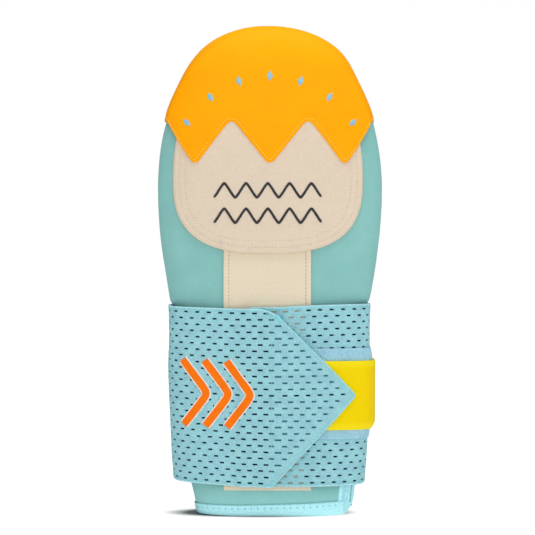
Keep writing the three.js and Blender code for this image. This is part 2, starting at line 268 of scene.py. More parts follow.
def applyModifier(piece, kind, **settings):
    modifier = piece.modifiers.new(kind.title(), kind)
    for name, value in settings.items():
        setattr(modifier, name, value)
    activate(piece)
    bpy.ops.object.modifier_apply(modifier=modifier.name)


def newGrid(name, columns, rows, width=1.0, height=1.0, left=0.0, bottom=0.0):
    # A flat cut, with its width across and its height up
    clearSelection()
    middle = (left + width / 2, bottom + height / 2, 0)
    bpy.ops.mesh.primitive_grid_add(x_subdivisions=columns, y_subdivisions=rows, size=1, location=middle)
    piece = bpy.context.object
    piece.name = piece.data.name = name
    piece.scale = (width, height, 1)
    bpy.ops.object.transform_apply(location=True, rotation=False, scale=True)
    return piece


def cutFlat(piece, point, outward):
    # Cuts a flat piece along a line and drops what lies on the outward side
    editAll(piece)
    place = (point[0], point[1], 0)
    bpy.ops.mesh.bisect(plane_co=place, plane_no=(outward[0], outward[1], 0), clear_outer=True)
    leaveEdit()


def thinTowards(piece, low, high):
    # A group in which the wall's share of its thickness falls off between two heights
    group = piece.vertex_groups.new(name="wallShare")
    for vertex in piece.data.vertices:
        group.add([vertex.index], 1 - (1 - thinnest) * smooth(vertex.co.z / mm, low, high), "REPLACE")
    return group.name


def thicken(piece, thickness, edge=0.0, wallShare="", sharpest=1.0):
    applyModifier(piece, "SOLIDIFY", thickness=thickness, offset=-1, vertex_group=wallShare)
    if edge:
        applyModifier(piece, "BEVEL", width=edge, segments=2, limit_method="ANGLE", angle_limit=sharpest)


def mergeClose(piece, distance):
    editAll(piece)
    bpy.ops.mesh.remove_doubles(threshold=distance)
    leaveEdit()


def selectOpenEdges(piece):
    editAll(piece)
    bpy.ops.mesh.select_all(action="DESELECT")
    bpy.ops.mesh.select_mode(type="EDGE")
    bpy.ops.mesh.select_non_manifold(extend=False, use_wire=False, use_multi_face=False)


def closeSeam(piece, distance):
    # Joins the edges of a piece where they meet at the crown
    selectOpenEdges(piece)
    bpy.ops.mesh.select_mode(type="VERT")
    bpy.ops.mesh.remove_doubles(threshold=distance)
    bpy.ops.mesh.select_all(action="SELECT")
    leaveEdit()


def closeHoles(piece):
    selectOpenEdges(piece)
    bpy.ops.mesh.fill_holes(sides=0)
    bpy.ops.mesh.select_mode(type="VERT")
    bpy.ops.mesh.select_all(action="SELECT")
    bpy.ops.mesh.normals_make_consistent(inside=False)
    leaveEdit()


def lay(piece, place):
    # Keeps the flat cut as the UV map and lays the piece on the mitt
    mesh = piece.data
    while mesh.uv_layers:
        mesh.uv_layers.remove(mesh.uv_layers[0])
    layer = mesh.uv_layers.new(name="cut")
    flat = np.empty(len(mesh.vertices) * 3)
    mesh.vertices.foreach_get("co", flat)
    flat = flat.reshape(-1, 3)
    corners = np.empty(len(mesh.loops), dtype=int)
    mesh.loops.foreach_get("vertex_index", corners)
    layer.data.foreach_set("uv", (flat[corners, :2] / cutUnit).ravel())
    laid = np.array([toScene(place(a, b, w)) for a, b, w in flat.tolist()])
    mesh.vertices.foreach_set("co", laid.ravel())
    mesh.update()


def roundShade(piece, degrees=40):
    activate(piece)
    bpy.ops.object.shade_smooth_by_angle(angle=math.radians(degrees))


def keep(piece, material, slot, *nodes):
    piece.data.materials.clear()
    piece.data.materials.append(material)
    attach(piece, root)
    if nodes:
        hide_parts(*nodes)
    return piece


def scatter(name, template, placements):
    # One piece from many copies of a small one
    points = np.array([(*vertex.co, 1) for vertex in template.data.vertices])
    faces = [tuple(face.vertices) for face in template.data.polygons]
    spots = np.concatenate([points @ np.array(place).T[:, :3] for place in placements])
    count = len(points)
    made = [tuple(i + count * k for i in face) for k in range(len(placements)) for face in faces]
    mesh = bpy.data.meshes.new(name)
    mesh.from_pydata(spots.tolist(), [], made)
    piece = bpy.data.objects.new(name, mesh)
    bpy.context.collection.objects.link(piece)
    mesh.shade_smooth()
    return piece


def drop(piece):
    bpy.data.objects.remove(piece, do_unlink=True)


def joinPieces(name, parts):
    activate(parts[0])
    for part in parts[1:]:
        part.select_set(True)
    if len(parts) > 1:
        bpy.ops.object.join()
    parts[0].name = parts[0].data.name = name
    return parts[0]


# Seams: a place function lays (across, up, lift) on the mitt, and a path is a list of (across, up)


def alongPath(place, path, lift, pitch, start=0.5):
    # Even spots on a path: point, direction and face normal of each, in the scene
    spots = [toScene(place(a, b, lift)) for a, b in path]
    lengths = np.cumsum([0] + [(q - p).length for p, q in zip(spots, spots[1:])]) / mm
    count = max(1, round(lengths[-1] / pitch))
    at = (np.arange(count + (start == 0)) + start) * lengths[-1] / count

    def spotsAt(distances):
        return zip(*(np.interp(distances, lengths, side) for side in zip(*path)))

    found = []
    for (a, b), ahead, behind in zip(spotsAt(at), spotsAt(at + lookAhead), spotsAt(at - lookAhead)):
        direction = place(*ahead, lift) - place(*behind, lift)
        wide = place(a + nudge, b, lift) - place(a - nudge, b, lift)
        tall = place(a, b + nudge, lift) - place(a, b - nudge, lift)
        found.append((toScene(place(a, b, lift)), direction.normalized(), wide.cross(tall).normalized()))
    return found


def threadTemplate():
    # One stitch, a unit long and a unit thick, pointed like a thread that dives into cloth
    clearSelection()
    bpy.ops.mesh.primitive_uv_sphere_add(segments=6, ring_count=5, radius=0.5)
    return bpy.context.object


def stitches(name, place, path, size, pitch, lift=0.0, turn=0.0, shift=0.0):
    # Size is the stitch's length, width and height; turn slants it and shift moves it sideways
    template = threadTemplate()
    placements = []
    for point, direction, normal in alongPath(place, path, lift, pitch):
        side = normal.cross(direction).normalized()
        tangent = (direction * math.cos(turn) + side * math.sin(turn)).normalized()
        beside = normal.cross(tangent).normalized()
        matrix = Matrix((beside * size[1], normal * size[2], tangent * size[0])).transposed() * mm
        placements.append(Matrix.Translation(point + side * shift * mm) @ matrix.to_4x4())
    piece = scatter(name, template, placements)
    drop(template)
    return piece


def ribbon(name, place, path, profile, pitch, lift=0.0, shape=None):
    # A tape, cord or satin line along a path; the profile is a closed loop of (sideways, up).
    # Shape, where given, changes a profile point by how far along the path it is.
    spots = alongPath(place, path, lift, pitch, start=0)
    columns, rows = len(spots) - 1, len(profile)
    piece = newGrid(name, columns, rows)
    mesh = piece.data
    layer = mesh.uv_layers[0] if mesh.uv_layers else mesh.uv_layers.new(name="cut")
    layer.name = "cut"
    total = pitch * columns
    for loop, uv in zip(mesh.loops, layer.data):
        spot = mesh.vertices[loop.vertex_index].co
        uv.uv = (spot.x * total / cutUnit, spot.y * ribbonGirth / cutUnit)
    for vertex in mesh.vertices:
        column = round(vertex.co.x * columns)
        sideways, up = profile[round(vertex.co.y * rows) % rows]
        if shape:
            sideways, up = shape(column * pitch, sideways, up)
        point, direction, normal = spots[column]
        side = normal.cross(direction).normalized()
        vertex.co = point + (side * sideways + normal * up) * mm
    mergeClose(piece, 1e-6)
    closeHoles(piece)
    roundShade(piece, 60)
    return piece


def line(start, end, count=60):
    return [
        (start[0] + (end[0] - start[0]) * i / count, start[1] + (end[1] - start[1]) * i / count)
        for i in range(count + 1)
    ]


# Node groups that several materials use


def feed(tree, value, socket):
    # Links a socket to another one's value, or gives it a value of its own
    if isinstance(value, bpy.types.NodeSocket):
        tree.links.new(value, socket)
    else:
        socket.default_value = value


def node(tree, kind, inputs=None, **settings):
    made = tree.nodes.new(kind)
    for name, value in settings.items():
        setattr(made, name, value)
    for name, value in (inputs or {}).items():
        feed(tree, value, made.inputs[name])
    return made


def newGroup(name, inputs, outputs):
    tree = bpy.data.node_groups.new(name, "ShaderNodeTree")
    kinds = {"vector": "NodeSocketVector", "value": "NodeSocketFloat", "colour": "NodeSocketColor"}
    for socket, kind, value in inputs:
        made = tree.interface.new_socket(name=socket, in_out="INPUT", socket_type=kinds[kind])
        made.default_value = value
    for socket, kind in outputs:
        tree.interface.new_socket(name=socket, in_out="OUTPUT", socket_type=kinds[kind])
    start = tree.nodes.new("NodeGroupInput")
    end = tree.nodes.new("NodeGroupOutput")
    return tree, start.outputs, end.inputs


def maths(tree, operation, first, second=0.0, third=0.0):
    made = node(tree, "ShaderNodeMath", {0: first, 1: second, 2: third}, operation=operation)
    return made.outputs[0]


def mixColour(tree, share, first, second, blend="MIX"):
    made = node(tree, "ShaderNodeMix", data_type="RGBA", blend_type=blend)
    for socket, value in ((0, share), (6, first), (7, second)):
        feed(tree, value, made.inputs[socket])
    return made.outputs[2]


def noiseOf(tree, vector, scale, detail=2.0, roughness=0.5):
    inputs = {"Vector": vector, "Scale": scale, "Detail": detail, "Roughness": roughness}
    return node(tree, "ShaderNodeTexNoise", inputs).outputs["Fac"]


def stretched(tree, low, high, value, toLow=0.0, toHigh=1.0):
    inputs = {"Value": value, "From Min": low, "From Max": high, "To Min": toLow, "To Max": toHigh}
    return node(tree, "ShaderNodeMapRange", inputs).outputs["Result"]


def mottleGroup():
    # Two yarn shades in soft patches, with finer flecks over them
    inputs = [
        ("Vector", "vector", (0, 0, 0)),
        ("Colour", "colour", (0.5, 0.5, 0.5, 1)),
        ("Other colour", "colour", (0.4, 0.4, 0.4, 1)),
        ("Patch scale", "value", 0.2),
        ("Fleck scale", "value", 1.5),
        ("Fleck share", "value", 0.3),
    ]
    tree, start, end = newGroup("yarnMottle", inputs, [("Colour", "colour"), ("Fleck", "value")])
    patch = stretched(tree, 0.35, 0.65, noiseOf(tree, start["Vector"], start["Patch scale"], 3.0, 0.6))
    fleck = stretched(tree, 0.35, 0.65, noiseOf(tree, start["Vector"], start["Fleck scale"], 2.0, 0.7))
    share = maths(tree, "MULTIPLY", fleck, start["Fleck share"])
    share = maths(tree, "ADD", share, maths(tree, "MULTIPLY", patch, 0.45))
    tree.links.new(mixColour(tree, share, start["Colour"], start["Other colour"]), end["Colour"])
    tree.links.new(fleck, end["Fleck"])
    return tree


def weaveGroup():
    # A plain weave: warp and weft threads that pass over each other in turn
    inputs = [("Vector", "vector", (0, 0, 0)), ("Threads per mm", "value", 1.6)]
    tree, start, end = newGroup("plainWeave", inputs, [("Height", "value"), ("Shade", "value")])
    split = node(tree, "ShaderNodeSeparateXYZ", {"Vector": start["Vector"]})
    phases = []
    for axis in ("X", "Y"):
        count = maths(tree, "MULTIPLY", split.outputs[axis], start["Threads per mm"])
        phases.append(maths(tree, "MULTIPLY", count, math.pi))
    warp = maths(tree, "ABSOLUTE", maths(tree, "SINE", phases[0]))
    weft = maths(tree, "ABSOLUTE", maths(tree, "SINE", phases[1]))
    over = maths(tree, "MULTIPLY", maths(tree, "SINE", phases[0]), maths(tree, "SINE", phases[1]))
    over = stretched(tree, -0.3, 0.3, over)
    slub = noiseOf(tree, start["Vector"], 0.7, 2.0, 0.6)
    height = maths(tree, "MAXIMUM", maths(tree, "MULTIPLY", warp, over), maths(tree, "MULTIPLY", weft, 0.8))
    height = maths(tree, "MULTIPLY_ADD", slub, 0.4, height)
    tree.links.new(height, end["Height"])
    tree.links.new(stretched(tree, 0.2, 1.3, height), end["Shade"])
    return tree


def napGroup():
    # Fuzz: short fibres in no order, and worn patches in it
    inputs = [("Vector", "vector", (0, 0, 0)), ("Scale", "value", 2.0), ("Patchiness", "value", 0.5)]
    tree, start, end = newGroup("clothNap", inputs, [("Height", "value"), ("Shade", "value")])
    fine = noiseOf(tree, start["Vector"], start["Scale"], 4.0, 0.75)
    broad = noiseOf(tree, start["Vector"], maths(tree, "MULTIPLY", start["Scale"], 0.12), 2.0, 0.5)
    tree.links.new(maths(tree, "MULTIPLY_ADD", broad, 0.6, fine), end["Height"])
    patched = maths(tree, "MULTIPLY", maths(tree, "SUBTRACT", broad, 0.5), start["Patchiness"])
    shade = maths(tree, "MULTIPLY_ADD", fine, 0.6, maths(tree, "ADD", patched, 0.25))
    tree.links.new(stretched(tree, 0.3, 0.8, shade), end["Shade"])
    return tree


def grainGroup():
    # Leather grain: pebbles between fine creases
    inputs = [("Vector", "vector", (0, 0, 0)), ("Scale", "value", 1.2)]
    tree, start, end = newGroup("leatherGrain", inputs, [("Height", "value"), ("Crease", "value")])
    settings = {"Vector": start["Vector"], "Scale": start["Scale"], "Randomness": 0.9}
    cells = node(tree, "ShaderNodeTexVoronoi", settings, feature="DISTANCE_TO_EDGE").outputs["Distance"]
    crease = stretched(tree, 0.0, 0.22, cells)
    grain = maths(tree, "MULTIPLY_ADD", noiseOf(tree, start["Vector"], 4.0, 3.0, 0.6), 0.35, crease)
    tree.links.new(grain, end["Height"])
    tree.links.new(crease, end["Crease"])
    return tree


groups = {
    "mottle": mottleGroup(),
    "weave": weaveGroup(),
    "nap": napGroup(),
    "grain": grainGroup(),
}


def placeGroup(tree, name, inputs):
    return node(tree, "ShaderNodeGroup", inputs, node_tree=groups[name]).outputs


def srgb(red, green, blue):
    # A colour as a screen shows it, 0 to 255, to the shader's own numbers
    def linear(value):
        share = value / 255
        return share / 12.92 if share <= 0.04045 else ((share + 0.055) / 1.055) ** 2.4

    return (linear(red), linear(green), linear(blue), 1)


def shaded(colour, factor):
    return (colour[0] * factor, colour[1] * factor, colour[2] * factor, 1)


class Finish:
    # A material with one Principled shader, and its coordinates in millimetres

    def __init__(self, name, roughness, fromCut=False, sheen=0.0, coat=0.0, specular=0.5):
        self.material = bpy.data.materials.new(name)
        self.material.use_nodes = True
        self.tree = self.material.node_tree
        self.shader = self.tree.nodes["Principled BSDF"]
        self.shader.inputs["Roughness"].default_value = roughness
        self.shader.inputs["Sheen Weight"].default_value = sheen
        self.shader.inputs["Sheen Roughness"].default_value = 0.4
        self.shader.inputs["Coat Weight"].default_value = coat
        self.shader.inputs["Specular IOR Level"].default_value = specular
        coordinates = self.tree.nodes.new("ShaderNodeTexCoord")
        source = coordinates.outputs["UV" if fromCut else "Object"]
        scale = cutUnit if fromCut else 1 / mm
        mapping = node(self.tree, "ShaderNodeMapping", {"Vector": source, "Scale": (scale,) * 3})
        self.spot = mapping.outputs["Vector"]

    def colour(self, value):
        feed(self.tree, value, self.shader.inputs["Base Color"])

    def relief(self, height, depth, strength=1.0):
        # Depth is the height of the relief in millimetres
        inputs = {"Height": height, "Distance": depth * mm, "Strength": strength}
        bump = node(self.tree, "ShaderNodeBump", inputs)
        self.tree.links.new(bump.outputs["Normal"], self.shader.inputs["Normal"])

    def gloss(self, value, low, high):
        result = stretched(self.tree, 0.0, 1.0, value, low, high)
        self.tree.links.new(result, self.shader.inputs["Roughness"])


print("shared shader groups made")

# Materials

shades = {
    "bodyKnit": srgb(138, 193, 189),
    "bodyKnitOther": srgb(124, 180, 176),
    "cuffKnitPaintedLight": srgb(158, 220, 218),
    "gusset": srgb(200, 252, 255),
    "gussetOther": srgb(152, 216, 232),
    "binding": srgb(194, 252, 255),
    "bindingOther": srgb(146, 216, 232),
    "canvas": srgb(234, 221, 198),
    "canvasOther": srgb(212, 195, 168),
    "suede": srgb(226, 210, 190),
    "suedeOther": srgb(202, 184, 162),
    "leather": srgb(253, 168, 0),
    "leatherOther": srgb(251, 160, 0),
    "leatherTopHighlight": srgb(254, 179, 0),
    "mesh": srgb(167, 225, 226),
    "meshOther": srgb(139, 186, 204),
    "slotShade": srgb(2, 44, 58),
    "backing": srgb(104, 168, 176),
    "hook": srgb(66, 122, 132),
    "shadedStrip": srgb(190, 174, 164),
    "loop": srgb(178, 222, 232),
    "loopOther": srgb(124, 174, 202),
    "strap": srgb(238, 208, 0),
    "strapEdge": srgb(240, 220, 26),
    "strapFleckAndSideShade": srgb(230, 194, 0),
    "capThread": srgb(255, 214, 60),
    "padThread": srgb(188, 158, 128),
    "blackThread": srgb(26, 26, 32),
    "blueThread": srgb(150, 208, 232),
    "tealThread": srgb(96, 172, 168),
    "meshThird": srgb(134, 214, 204),
    "hemTape": srgb(182, 230, 234),
    "hemTapeOther": srgb(152, 202, 220),
    "canvasThread": srgb(186, 156, 126),
    "cyanThread": srgb(128, 214, 222),
    "rimThread": srgb(146, 210, 234),
    "orange": srgb(255, 120, 0),
    "white": srgb(244, 240, 236),
}


def knitFinish(name, colour, other, scale=1.9, depth=0.12, flecks=0.45, cuff=None):
    finish = Finish(name, 0.86, sheen=0.06, specular=0.15)
    tree = finish.tree
    knit = placeGroup(tree, "mottle", {
        "Vector": finish.spot, "Colour": colour, "Other colour": other,
        "Patch scale": 0.05, "Fleck scale": scale, "Fleck share": flecks,
    })["Colour"]
    nap = placeGroup(tree, "nap", {"Vector": finish.spot, "Scale": scale})
    if cuff:
        # Painted light: the knit is made paler towards the cuff, as light thrown up from the floor would make
        # it
        height = node(tree, "ShaderNodeSeparateXYZ", {"Vector": finish.spot}).outputs["Z"]
        knit = mixColour(tree, stretched(tree, 4, 16, height, 0.8, 0.0), knit, cuff)
    finish.colour(knit)
    finish.relief(nap["Height"], depth, 0.6)
    finish.gloss(nap["Shade"], 0.92, 0.78)
    return finish.material


def leatherFinish(name, colour, other, top):
    finish = Finish(name, 0.5, specular=0.07)
    tree = finish.tree
    grain = placeGroup(tree, "grain", {"Vector": finish.spot, "Scale": 1.15})
    tone = stretched(tree, 0.3, 0.7, noiseOf(tree, finish.spot, 0.045, 3.0, 0.55))
    base = mixColour(tree, tone, colour, other)
    # Painted highlight: the cap is made paler towards its top, where the light from above falls
    height = node(tree, "ShaderNodeSeparateXYZ", {"Vector": finish.spot}).outputs["Z"]
    base = mixColour(tree, stretched(tree, 246, 270, height), base, top)
    finish.colour(mixColour(tree, stretched(tree, 0.0, 1.0, grain["Crease"], 0.28, 0.0), base, other))
    finish.relief(grain["Height"], 0.09, 0.55)
    finish.gloss(grain["Crease"], 0.62, 0.46)
    return finish.material


def suedeFinish(name, colour, other):
    finish = Finish(name, 0.92, sheen=0.08, specular=0.12)
    tree = finish.tree
    nap = placeGroup(tree, "nap", {"Vector": finish.spot, "Scale": 1.3, "Patchiness": 0.1})
    tone = stretched(tree, 0.3, 0.7, noiseOf(tree, finish.spot, 0.03, 2.0, 0.5))
    base = mixColour(tree, maths(tree, "MULTIPLY", tone, 0.1), colour, other)
    finish.colour(mixColour(tree, stretched(tree, 0.2, 0.8, nap["Shade"], 0.8, 0.0), base, other))
    finish.relief(nap["Height"], 0.16, 0.8)
    return finish.material


def canvasFinish(name, colour, other, threads=1.5):
    finish = Finish(name, 0.88, fromCut=True, sheen=0.04, specular=0.15)
    tree = finish.tree
    weave = placeGroup(tree, "weave", {"Vector": finish.spot, "Threads per mm": threads})
    tone = stretched(tree, 0.35, 0.65, noiseOf(tree, finish.spot, 0.9, 3.0, 0.7), 0.0, 0.3)
    base = mixColour(tree, tone, colour, other)
    finish.colour(mixColour(tree, stretched(tree, 0.0, 1.0, weave["Shade"], 0.6, 0.0), base, other))
    finish.relief(weave["Height"], 0.14, 0.8)
    return finish.material


def meshFinish(name, colour, other, third):
    # Warp-knit mesh: short upright yarn loops in three shades
    finish = Finish(name, 0.8, fromCut=True, sheen=0.06, specular=0.2)
    tree = finish.tree
    mottled = placeGroup(tree, "mottle", {
        "Vector": finish.spot, "Colour": colour, "Other colour": other,
        "Patch scale": 0.16, "Fleck scale": 1.3, "Fleck share": 0.75,
    })
    loops = placeGroup(tree, "weave", {"Vector": finish.spot, "Threads per mm": 1.25})
    shifted = node(tree, "ShaderNodeMapping", {"Vector": finish.spot, "Location": (31, 7, 0)})
    fleck = stretched(tree, 0.5, 0.68, noiseOf(tree, shifted.outputs["Vector"], 1.1, 2.0, 0.6), 0.0, 0.7)
    yarn = mixColour(tree, fleck, mottled["Colour"], third)
    dark = shaded(other, 0.72)
    finish.colour(mixColour(tree, stretched(tree, 0.0, 1.0, loops["Shade"], 0.26, 0.0), yarn, dark))
    finish.relief(loops["Height"], 0.14, 0.7)
    return finish.material


def fuzzFinish(name, colour, other):
    finish = Finish(name, 0.95, sheen=0.15, specular=0.1)
    tree = finish.tree
    nap = placeGroup(tree, "nap", {"Vector": finish.spot, "Scale": 0.85, "Patchiness": 0.2})
    finish.colour(mixColour(tree, stretched(tree, 0.1, 0.9, nap["Shade"], 1.0, 0.0), colour, other))
    finish.relief(nap["Height"], 0.3, 0.9)
    return finish.material


def strapFinish(name, colour, edge, end):
    # Ribbed webbing, paler along its edges, and darker and warmer towards the side where it turns away, which
    # is painted shade
    finish = Finish(name, 0.62, fromCut=True, specular=0.07)
    tree = finish.tree
    split = node(tree, "ShaderNodeSeparateXYZ", {"Vector": finish.spot})
    toEdge = maths(tree, "ABSOLUTE", split.outputs["Y"])
    rim = stretched(tree, 14.2, 16.6, toEdge)
    # Painted shade: darker and warmer along the strap as it turns round the mitt's side; the same colour also
    # gives its random flecks
    sideShade = stretched(tree, 40.0, 62.0, split.outputs["X"])
    base = mixColour(tree, sideShade, colour, end)
    base = mixColour(tree, maths(tree, "MULTIPLY", rim, 0.75), base, edge)
    speck = stretched(tree, 0.3, 0.7, noiseOf(tree, finish.spot, 3.0, 2.0, 0.6), 0.0, 0.22)
    finish.colour(mixColour(tree, speck, base, end))
    weave = placeGroup(tree, "weave", {"Vector": finish.spot, "Threads per mm": 1.05})
    finish.relief(weave["Height"], 0.08, 0.5)
    return finish.material


def bindingFinish(name, colour, other):
    # Elastic tape: fine ribs along it, and a darker thread here and there
    finish = Finish(name, 0.7, fromCut=True, sheen=0.06, specular=0.25)
    tree = finish.tree
    split = node(tree, "ShaderNodeSeparateXYZ", {"Vector": finish.spot})
    rib = maths(tree, "SINE", maths(tree, "MULTIPLY", split.outputs["Y"], 9.0))
    speck = stretched(tree, 0.42, 0.68, noiseOf(tree, finish.spot, 1.0, 3.0, 0.65), 0.0, 0.75)
    finish.colour(mixColour(tree, speck, colour, other))
    height = maths(tree, "MULTIPLY_ADD", rib, 0.4, noiseOf(tree, finish.spot, 2.5, 2.0, 0.6))
    finish.relief(height, 0.1, 0.6)
    return finish.material


def threadFinish(name, colour, strands=0.0):
    # Twisted or satin thread; strands is how many lie side by side in a millimetre
    finish = Finish(name, 0.42, fromCut=strands > 0, sheen=0.1, specular=0.5)
    tree = finish.tree
    if strands:
        split = node(tree, "ShaderNodeSeparateXYZ", {"Vector": finish.spot})
        phase = maths(tree, "MULTIPLY", split.outputs["X"], strands * 2 * math.pi)
        strand = stretched(tree, -1.0, 1.0, maths(tree, "SINE", phase))
        finish.colour(mixColour(tree, strand, shaded(colour, 0.66), colour))
        finish.relief(strand, 0.12, 0.8)
    else:
        speck = stretched(tree, 0.3, 0.7, noiseOf(tree, finish.spot, 5.0, 2.0, 0.6))
        finish.colour(mixColour(tree, speck, shaded(colour, 0.82), colour))
        finish.relief(speck, 0.05, 0.5)
    return finish.material


def plainFinish(name, colour):
    finish = Finish(name, 0.9, specular=0.2)
    tree = finish.tree
    nap = placeGroup(tree, "nap", {"Vector": finish.spot, "Scale": 2.0})
    finish.colour(mixColour(tree, nap["Shade"], shaded(colour, 0.8), colour))
    finish.relief(nap["Height"], 0.1, 0.5)
    return finish.material


finishes = {
    "bodyKnit": knitFinish("bodyKnit", shades["bodyKnit"], shades["bodyKnitOther"], cuff=shades["cuffKnitPaintedLight"]),
    "gusset": knitFinish("gussetKnit", shades["gusset"], shades["gussetOther"], 0.7, 0.25, 0.6),
    "binding": bindingFinish("elasticBinding", shades["binding"], shades["bindingOther"]),
    "canvas": canvasFinish("stripCanvas", shades["canvas"], shades["canvasOther"]),
    "suede": suedeFinish("padSuede", shades["suede"], shades["suedeOther"]),
    "leather": leatherFinish(
        "toeCapLeather", shades["leather"], shades["leatherOther"], shades["leatherTopHighlight"],
    ),
    "mesh": meshFinish("bandMesh", shades["mesh"], shades["meshOther"], shades["meshThird"]),
    "hem": bindingFinish("hemTape", shades["hemTape"], shades["hemTapeOther"]),
    "canvasThread": threadFinish("canvasThread", shades["canvasThread"]),
    "loop": fuzzFinish("loopTape", shades["loop"], shades["loopOther"]),
    "strap": strapFinish("strapWebbing", shades["strap"], shades["strapEdge"], shades["strapFleckAndSideShade"]),
    "slotShade": plainFinish("bandSlotShade", shades["slotShade"]),
    "backing": plainFinish("bandBacking", shades["backing"]),
    "hook": plainFinish("hookTape", shades["hook"]),
    "shadedStrip": plainFinish("shadedStrip", shades["shadedStrip"]),
    "capThread": threadFinish("capThread", shades["capThread"]),
    "padThread": threadFinish("padThread", shades["padThread"]),
    "blackSatin": threadFinish("blackSatin", shades["blackThread"], 2.6),
    "blueSatin": threadFinish("blueSatin", shades["blueThread"], 2.6),
    "tealThread": threadFinish("tealThread", shades["tealThread"]),
    "cyanThread": threadFinish("cyanThread", shades["cyanThread"]),
    "rimThread": threadFinish("rimThread", shades["rimThread"]),
    "orange": plainFinish("orangeTwill", shades["orange"]),
    "whiteThread": threadFinish("whiteThread", shades["white"], 2.2),
}
print("materials made:", len(finishes))

# Body: two padded knit panels, with a notch for the gusset at the right of the cuff

body = {
    "crownLength": 100.0,  # from the crown's base to its top along the cloth
    "frontWidth": 150.0,
    "backWidth": 116.0,
    "columns": 116,
    "rows": 150,
    "start": 1.2,
    "seamRoll": 0.9,  # how far the cloth dips into its seam
    "seamRollWidth": 1.6,
    "rollEnds": (262, 276),  # the dip fades between these places up the cloth
    "edge": 0.5,
    "thinWall": (252, 266),  # the wall thins between these heights, where front and back meet
}
gusset = {
    "edgeAtRim": 38.0,
    "edgeLean": 0.112,
    "top": 100.0,
    "inset": 0.7,
    "thickness": 2.0,
    "edgeRound": 0.45,
    "rimFold": (0.15, 1.2),  # how far it is drawn in by the rim, and up to what height
    "folds": (0.075, 3.4, 14),  # depth and half length of its small folds, and up to where they reach
    "crease": 0.19,  # where its folded edge runs, as a share of the way to the back
    "creaseRun": (4.0, 60.0),
    "bottom": 0.15,
    "corner": [(41.0, 0.2), (44.6, 1.6), (47.2, 9.5)],
    "columns": 44,
    "rows": 96,
    "width": 44.0,
}


def gussetEdge(z):
    return gusset["edgeAtRim"] + gusset["edgeLean"] * z


def clothRow(b, lift):
    # The section at a height along the cloth, which follows the crown's curve to the top
    base = form["crownBase"]
    if b <= base:
        return bodyAt(b, lift), b
    half, front, back, shift = tableRow("body", base)
    share = clamp((b - base) / body["crownLength"])
    climb = 1.0 if share >= 1 else math.sin(math.radians(90 * share)) ** (2 / form["crownPower"])
    spread = crownSpread(climb)
    rise = form["crownHeight"] + lift * (form["crownWall"] / form["wall"] if lift < 0 else 1)
    z = base + rise * climb
    widths = (half + lift) * spread, (front + lift) * spread, (back + lift) * spread
    return (*widths, shift, curlAt(z), form["power"]), z


@lru_cache(maxsize=None)
def seamTurn(b):
    section, z = clothRow(b, 0)
    seam = tableRow("seam", round(z, 2))[0]

    def isBeforeSeam(turn):
        return ringPoint(section, turn)[1] < seam

    back = 90.0
    return halve(0.0, back, isBeforeSeam) if ringPoint(section, back)[1] > seam else back


@lru_cache(maxsize=None)
def turnTable(side, b):
    # Turns across a panel from seam to seam, and how far along the cloth each one is
    seam = seamTurn(b)
    start, end = (180 - seam, 360 + seam) if side == "front" else (seam, 180 - seam)
    section = clothRow(b, 0)[0]
    turns = np.linspace(start, end, 121)
    spots = np.array([ringPoint(section, turn) for turn in turns])
    steps = np.hypot(*np.diff(spots, axis=0).T)
    return turns, np.concatenate([[0], np.cumsum(steps)])


def panelTurn(side, a, b):
    turns, lengths = turnTable(side, round(b, 3))
    total = lengths[-1]
    share = a / body[side + "Width"]
    if total < 1:
        return turns[0] + (turns[-1] - turns[0]) * share, 0
    half = form["gap"] / 2
    at = half + (total - 2 * half) * share
    return float(np.interp(at, lengths, turns)), min(at, total - at)


def panelPlace(side):
    def place(a, b, w):
        turn, fromSeam = panelTurn(side, a, b)
        roll = body["seamRoll"] * hump(fromSeam, body["seamRollWidth"]) * (1 - smooth(b, *body["rollEnds"]))
        section, z = clothRow(b, w - roll)
        x, y = ringPoint(section, turn)
        return Vector((x, y, z))

    return place


def panelAcross(side, x, z):
    # Where on a panel's flat cut a point of the right half lies
    width = body[side + "Width"]

    def isLeftOf(share):
        turn = panelTurn(side, share * width, z)[0]
        return ringPoint(bodyAt(z, 0), turn)[0] < x

    return halve(0.5, 0.86 if side == "front" else 0.0, isLeftOf) * width


def seamTop():
    # How far up the cloth the two side seams meet
    def isApart(b):
        return seamTurn(b) < 90

    return halve(200.0, form["crownBase"] + body["crownLength"], isApart, 14)


def cutNotch(piece, side):
    # Cuts the corner beside the gusset out of a panel
    top = gusset["top"]
    low = (panelAcross(side, gussetEdge(0), 0.5), 0)
    high = (panelAcross(side, gussetEdge(top), top), top)
    run = (high[0] - low[0], high[1] - low[1])
    editAll(piece)
    for point, normal in ((low, (run[1], -run[0])), ((0, top), (0, 1))):
        bpy.ops.mesh.select_all(action="SELECT")
        bpy.ops.mesh.bisect(plane_co=(*point, 0), plane_no=(*normal, 0))
    bpy.ops.mesh.select_all(action="DESELECT")
    bpy.ops.mesh.select_mode(type="FACE")
    leaveEdit()
    outward = 1 if side == "front" else -1
    for face in piece.data.polygons:
        a, b = face.center.x, face.center.y
        edge = low[0] + run[0] * b / top
        face.select = b < top and (a - edge) * outward > 0
    bpy.ops.object.mode_set(mode="EDIT")
    bpy.ops.mesh.delete(type="FACE")
    bpy.ops.mesh.select_mode(type="VERT")
    leaveEdit()


def makePanel(name, side, height):
    width, start = body[side + "Width"], body["start"]
    piece = newGrid(name, body["columns"], body["rows"], width, height - start, bottom=start)
    cutNotch(piece, side)
    lay(piece, panelPlace(side))
    mergeClose(piece, 1e-5)
    thicken(piece, form["wall"] * mm, body["edge"] * mm, wallShare=thinTowards(piece, *body["thinWall"]))
    roundShade(piece)
    return piece


crownTop = form["crownBase"] + body["crownLength"]
frontPanel = makePanel("frontPanel", "front", crownTop)
backPanel = makePanel("backPanel", "back", seamTop())
keep(frontPanel, finishes["bodyKnit"], "body_knit", "front_panel")
keep(backPanel, finishes["bodyKnit"], "body_knit", "back_panel")
print("body panels made")

# Cuff: the gusset, the bindings on its two sides, and the binding round the rim

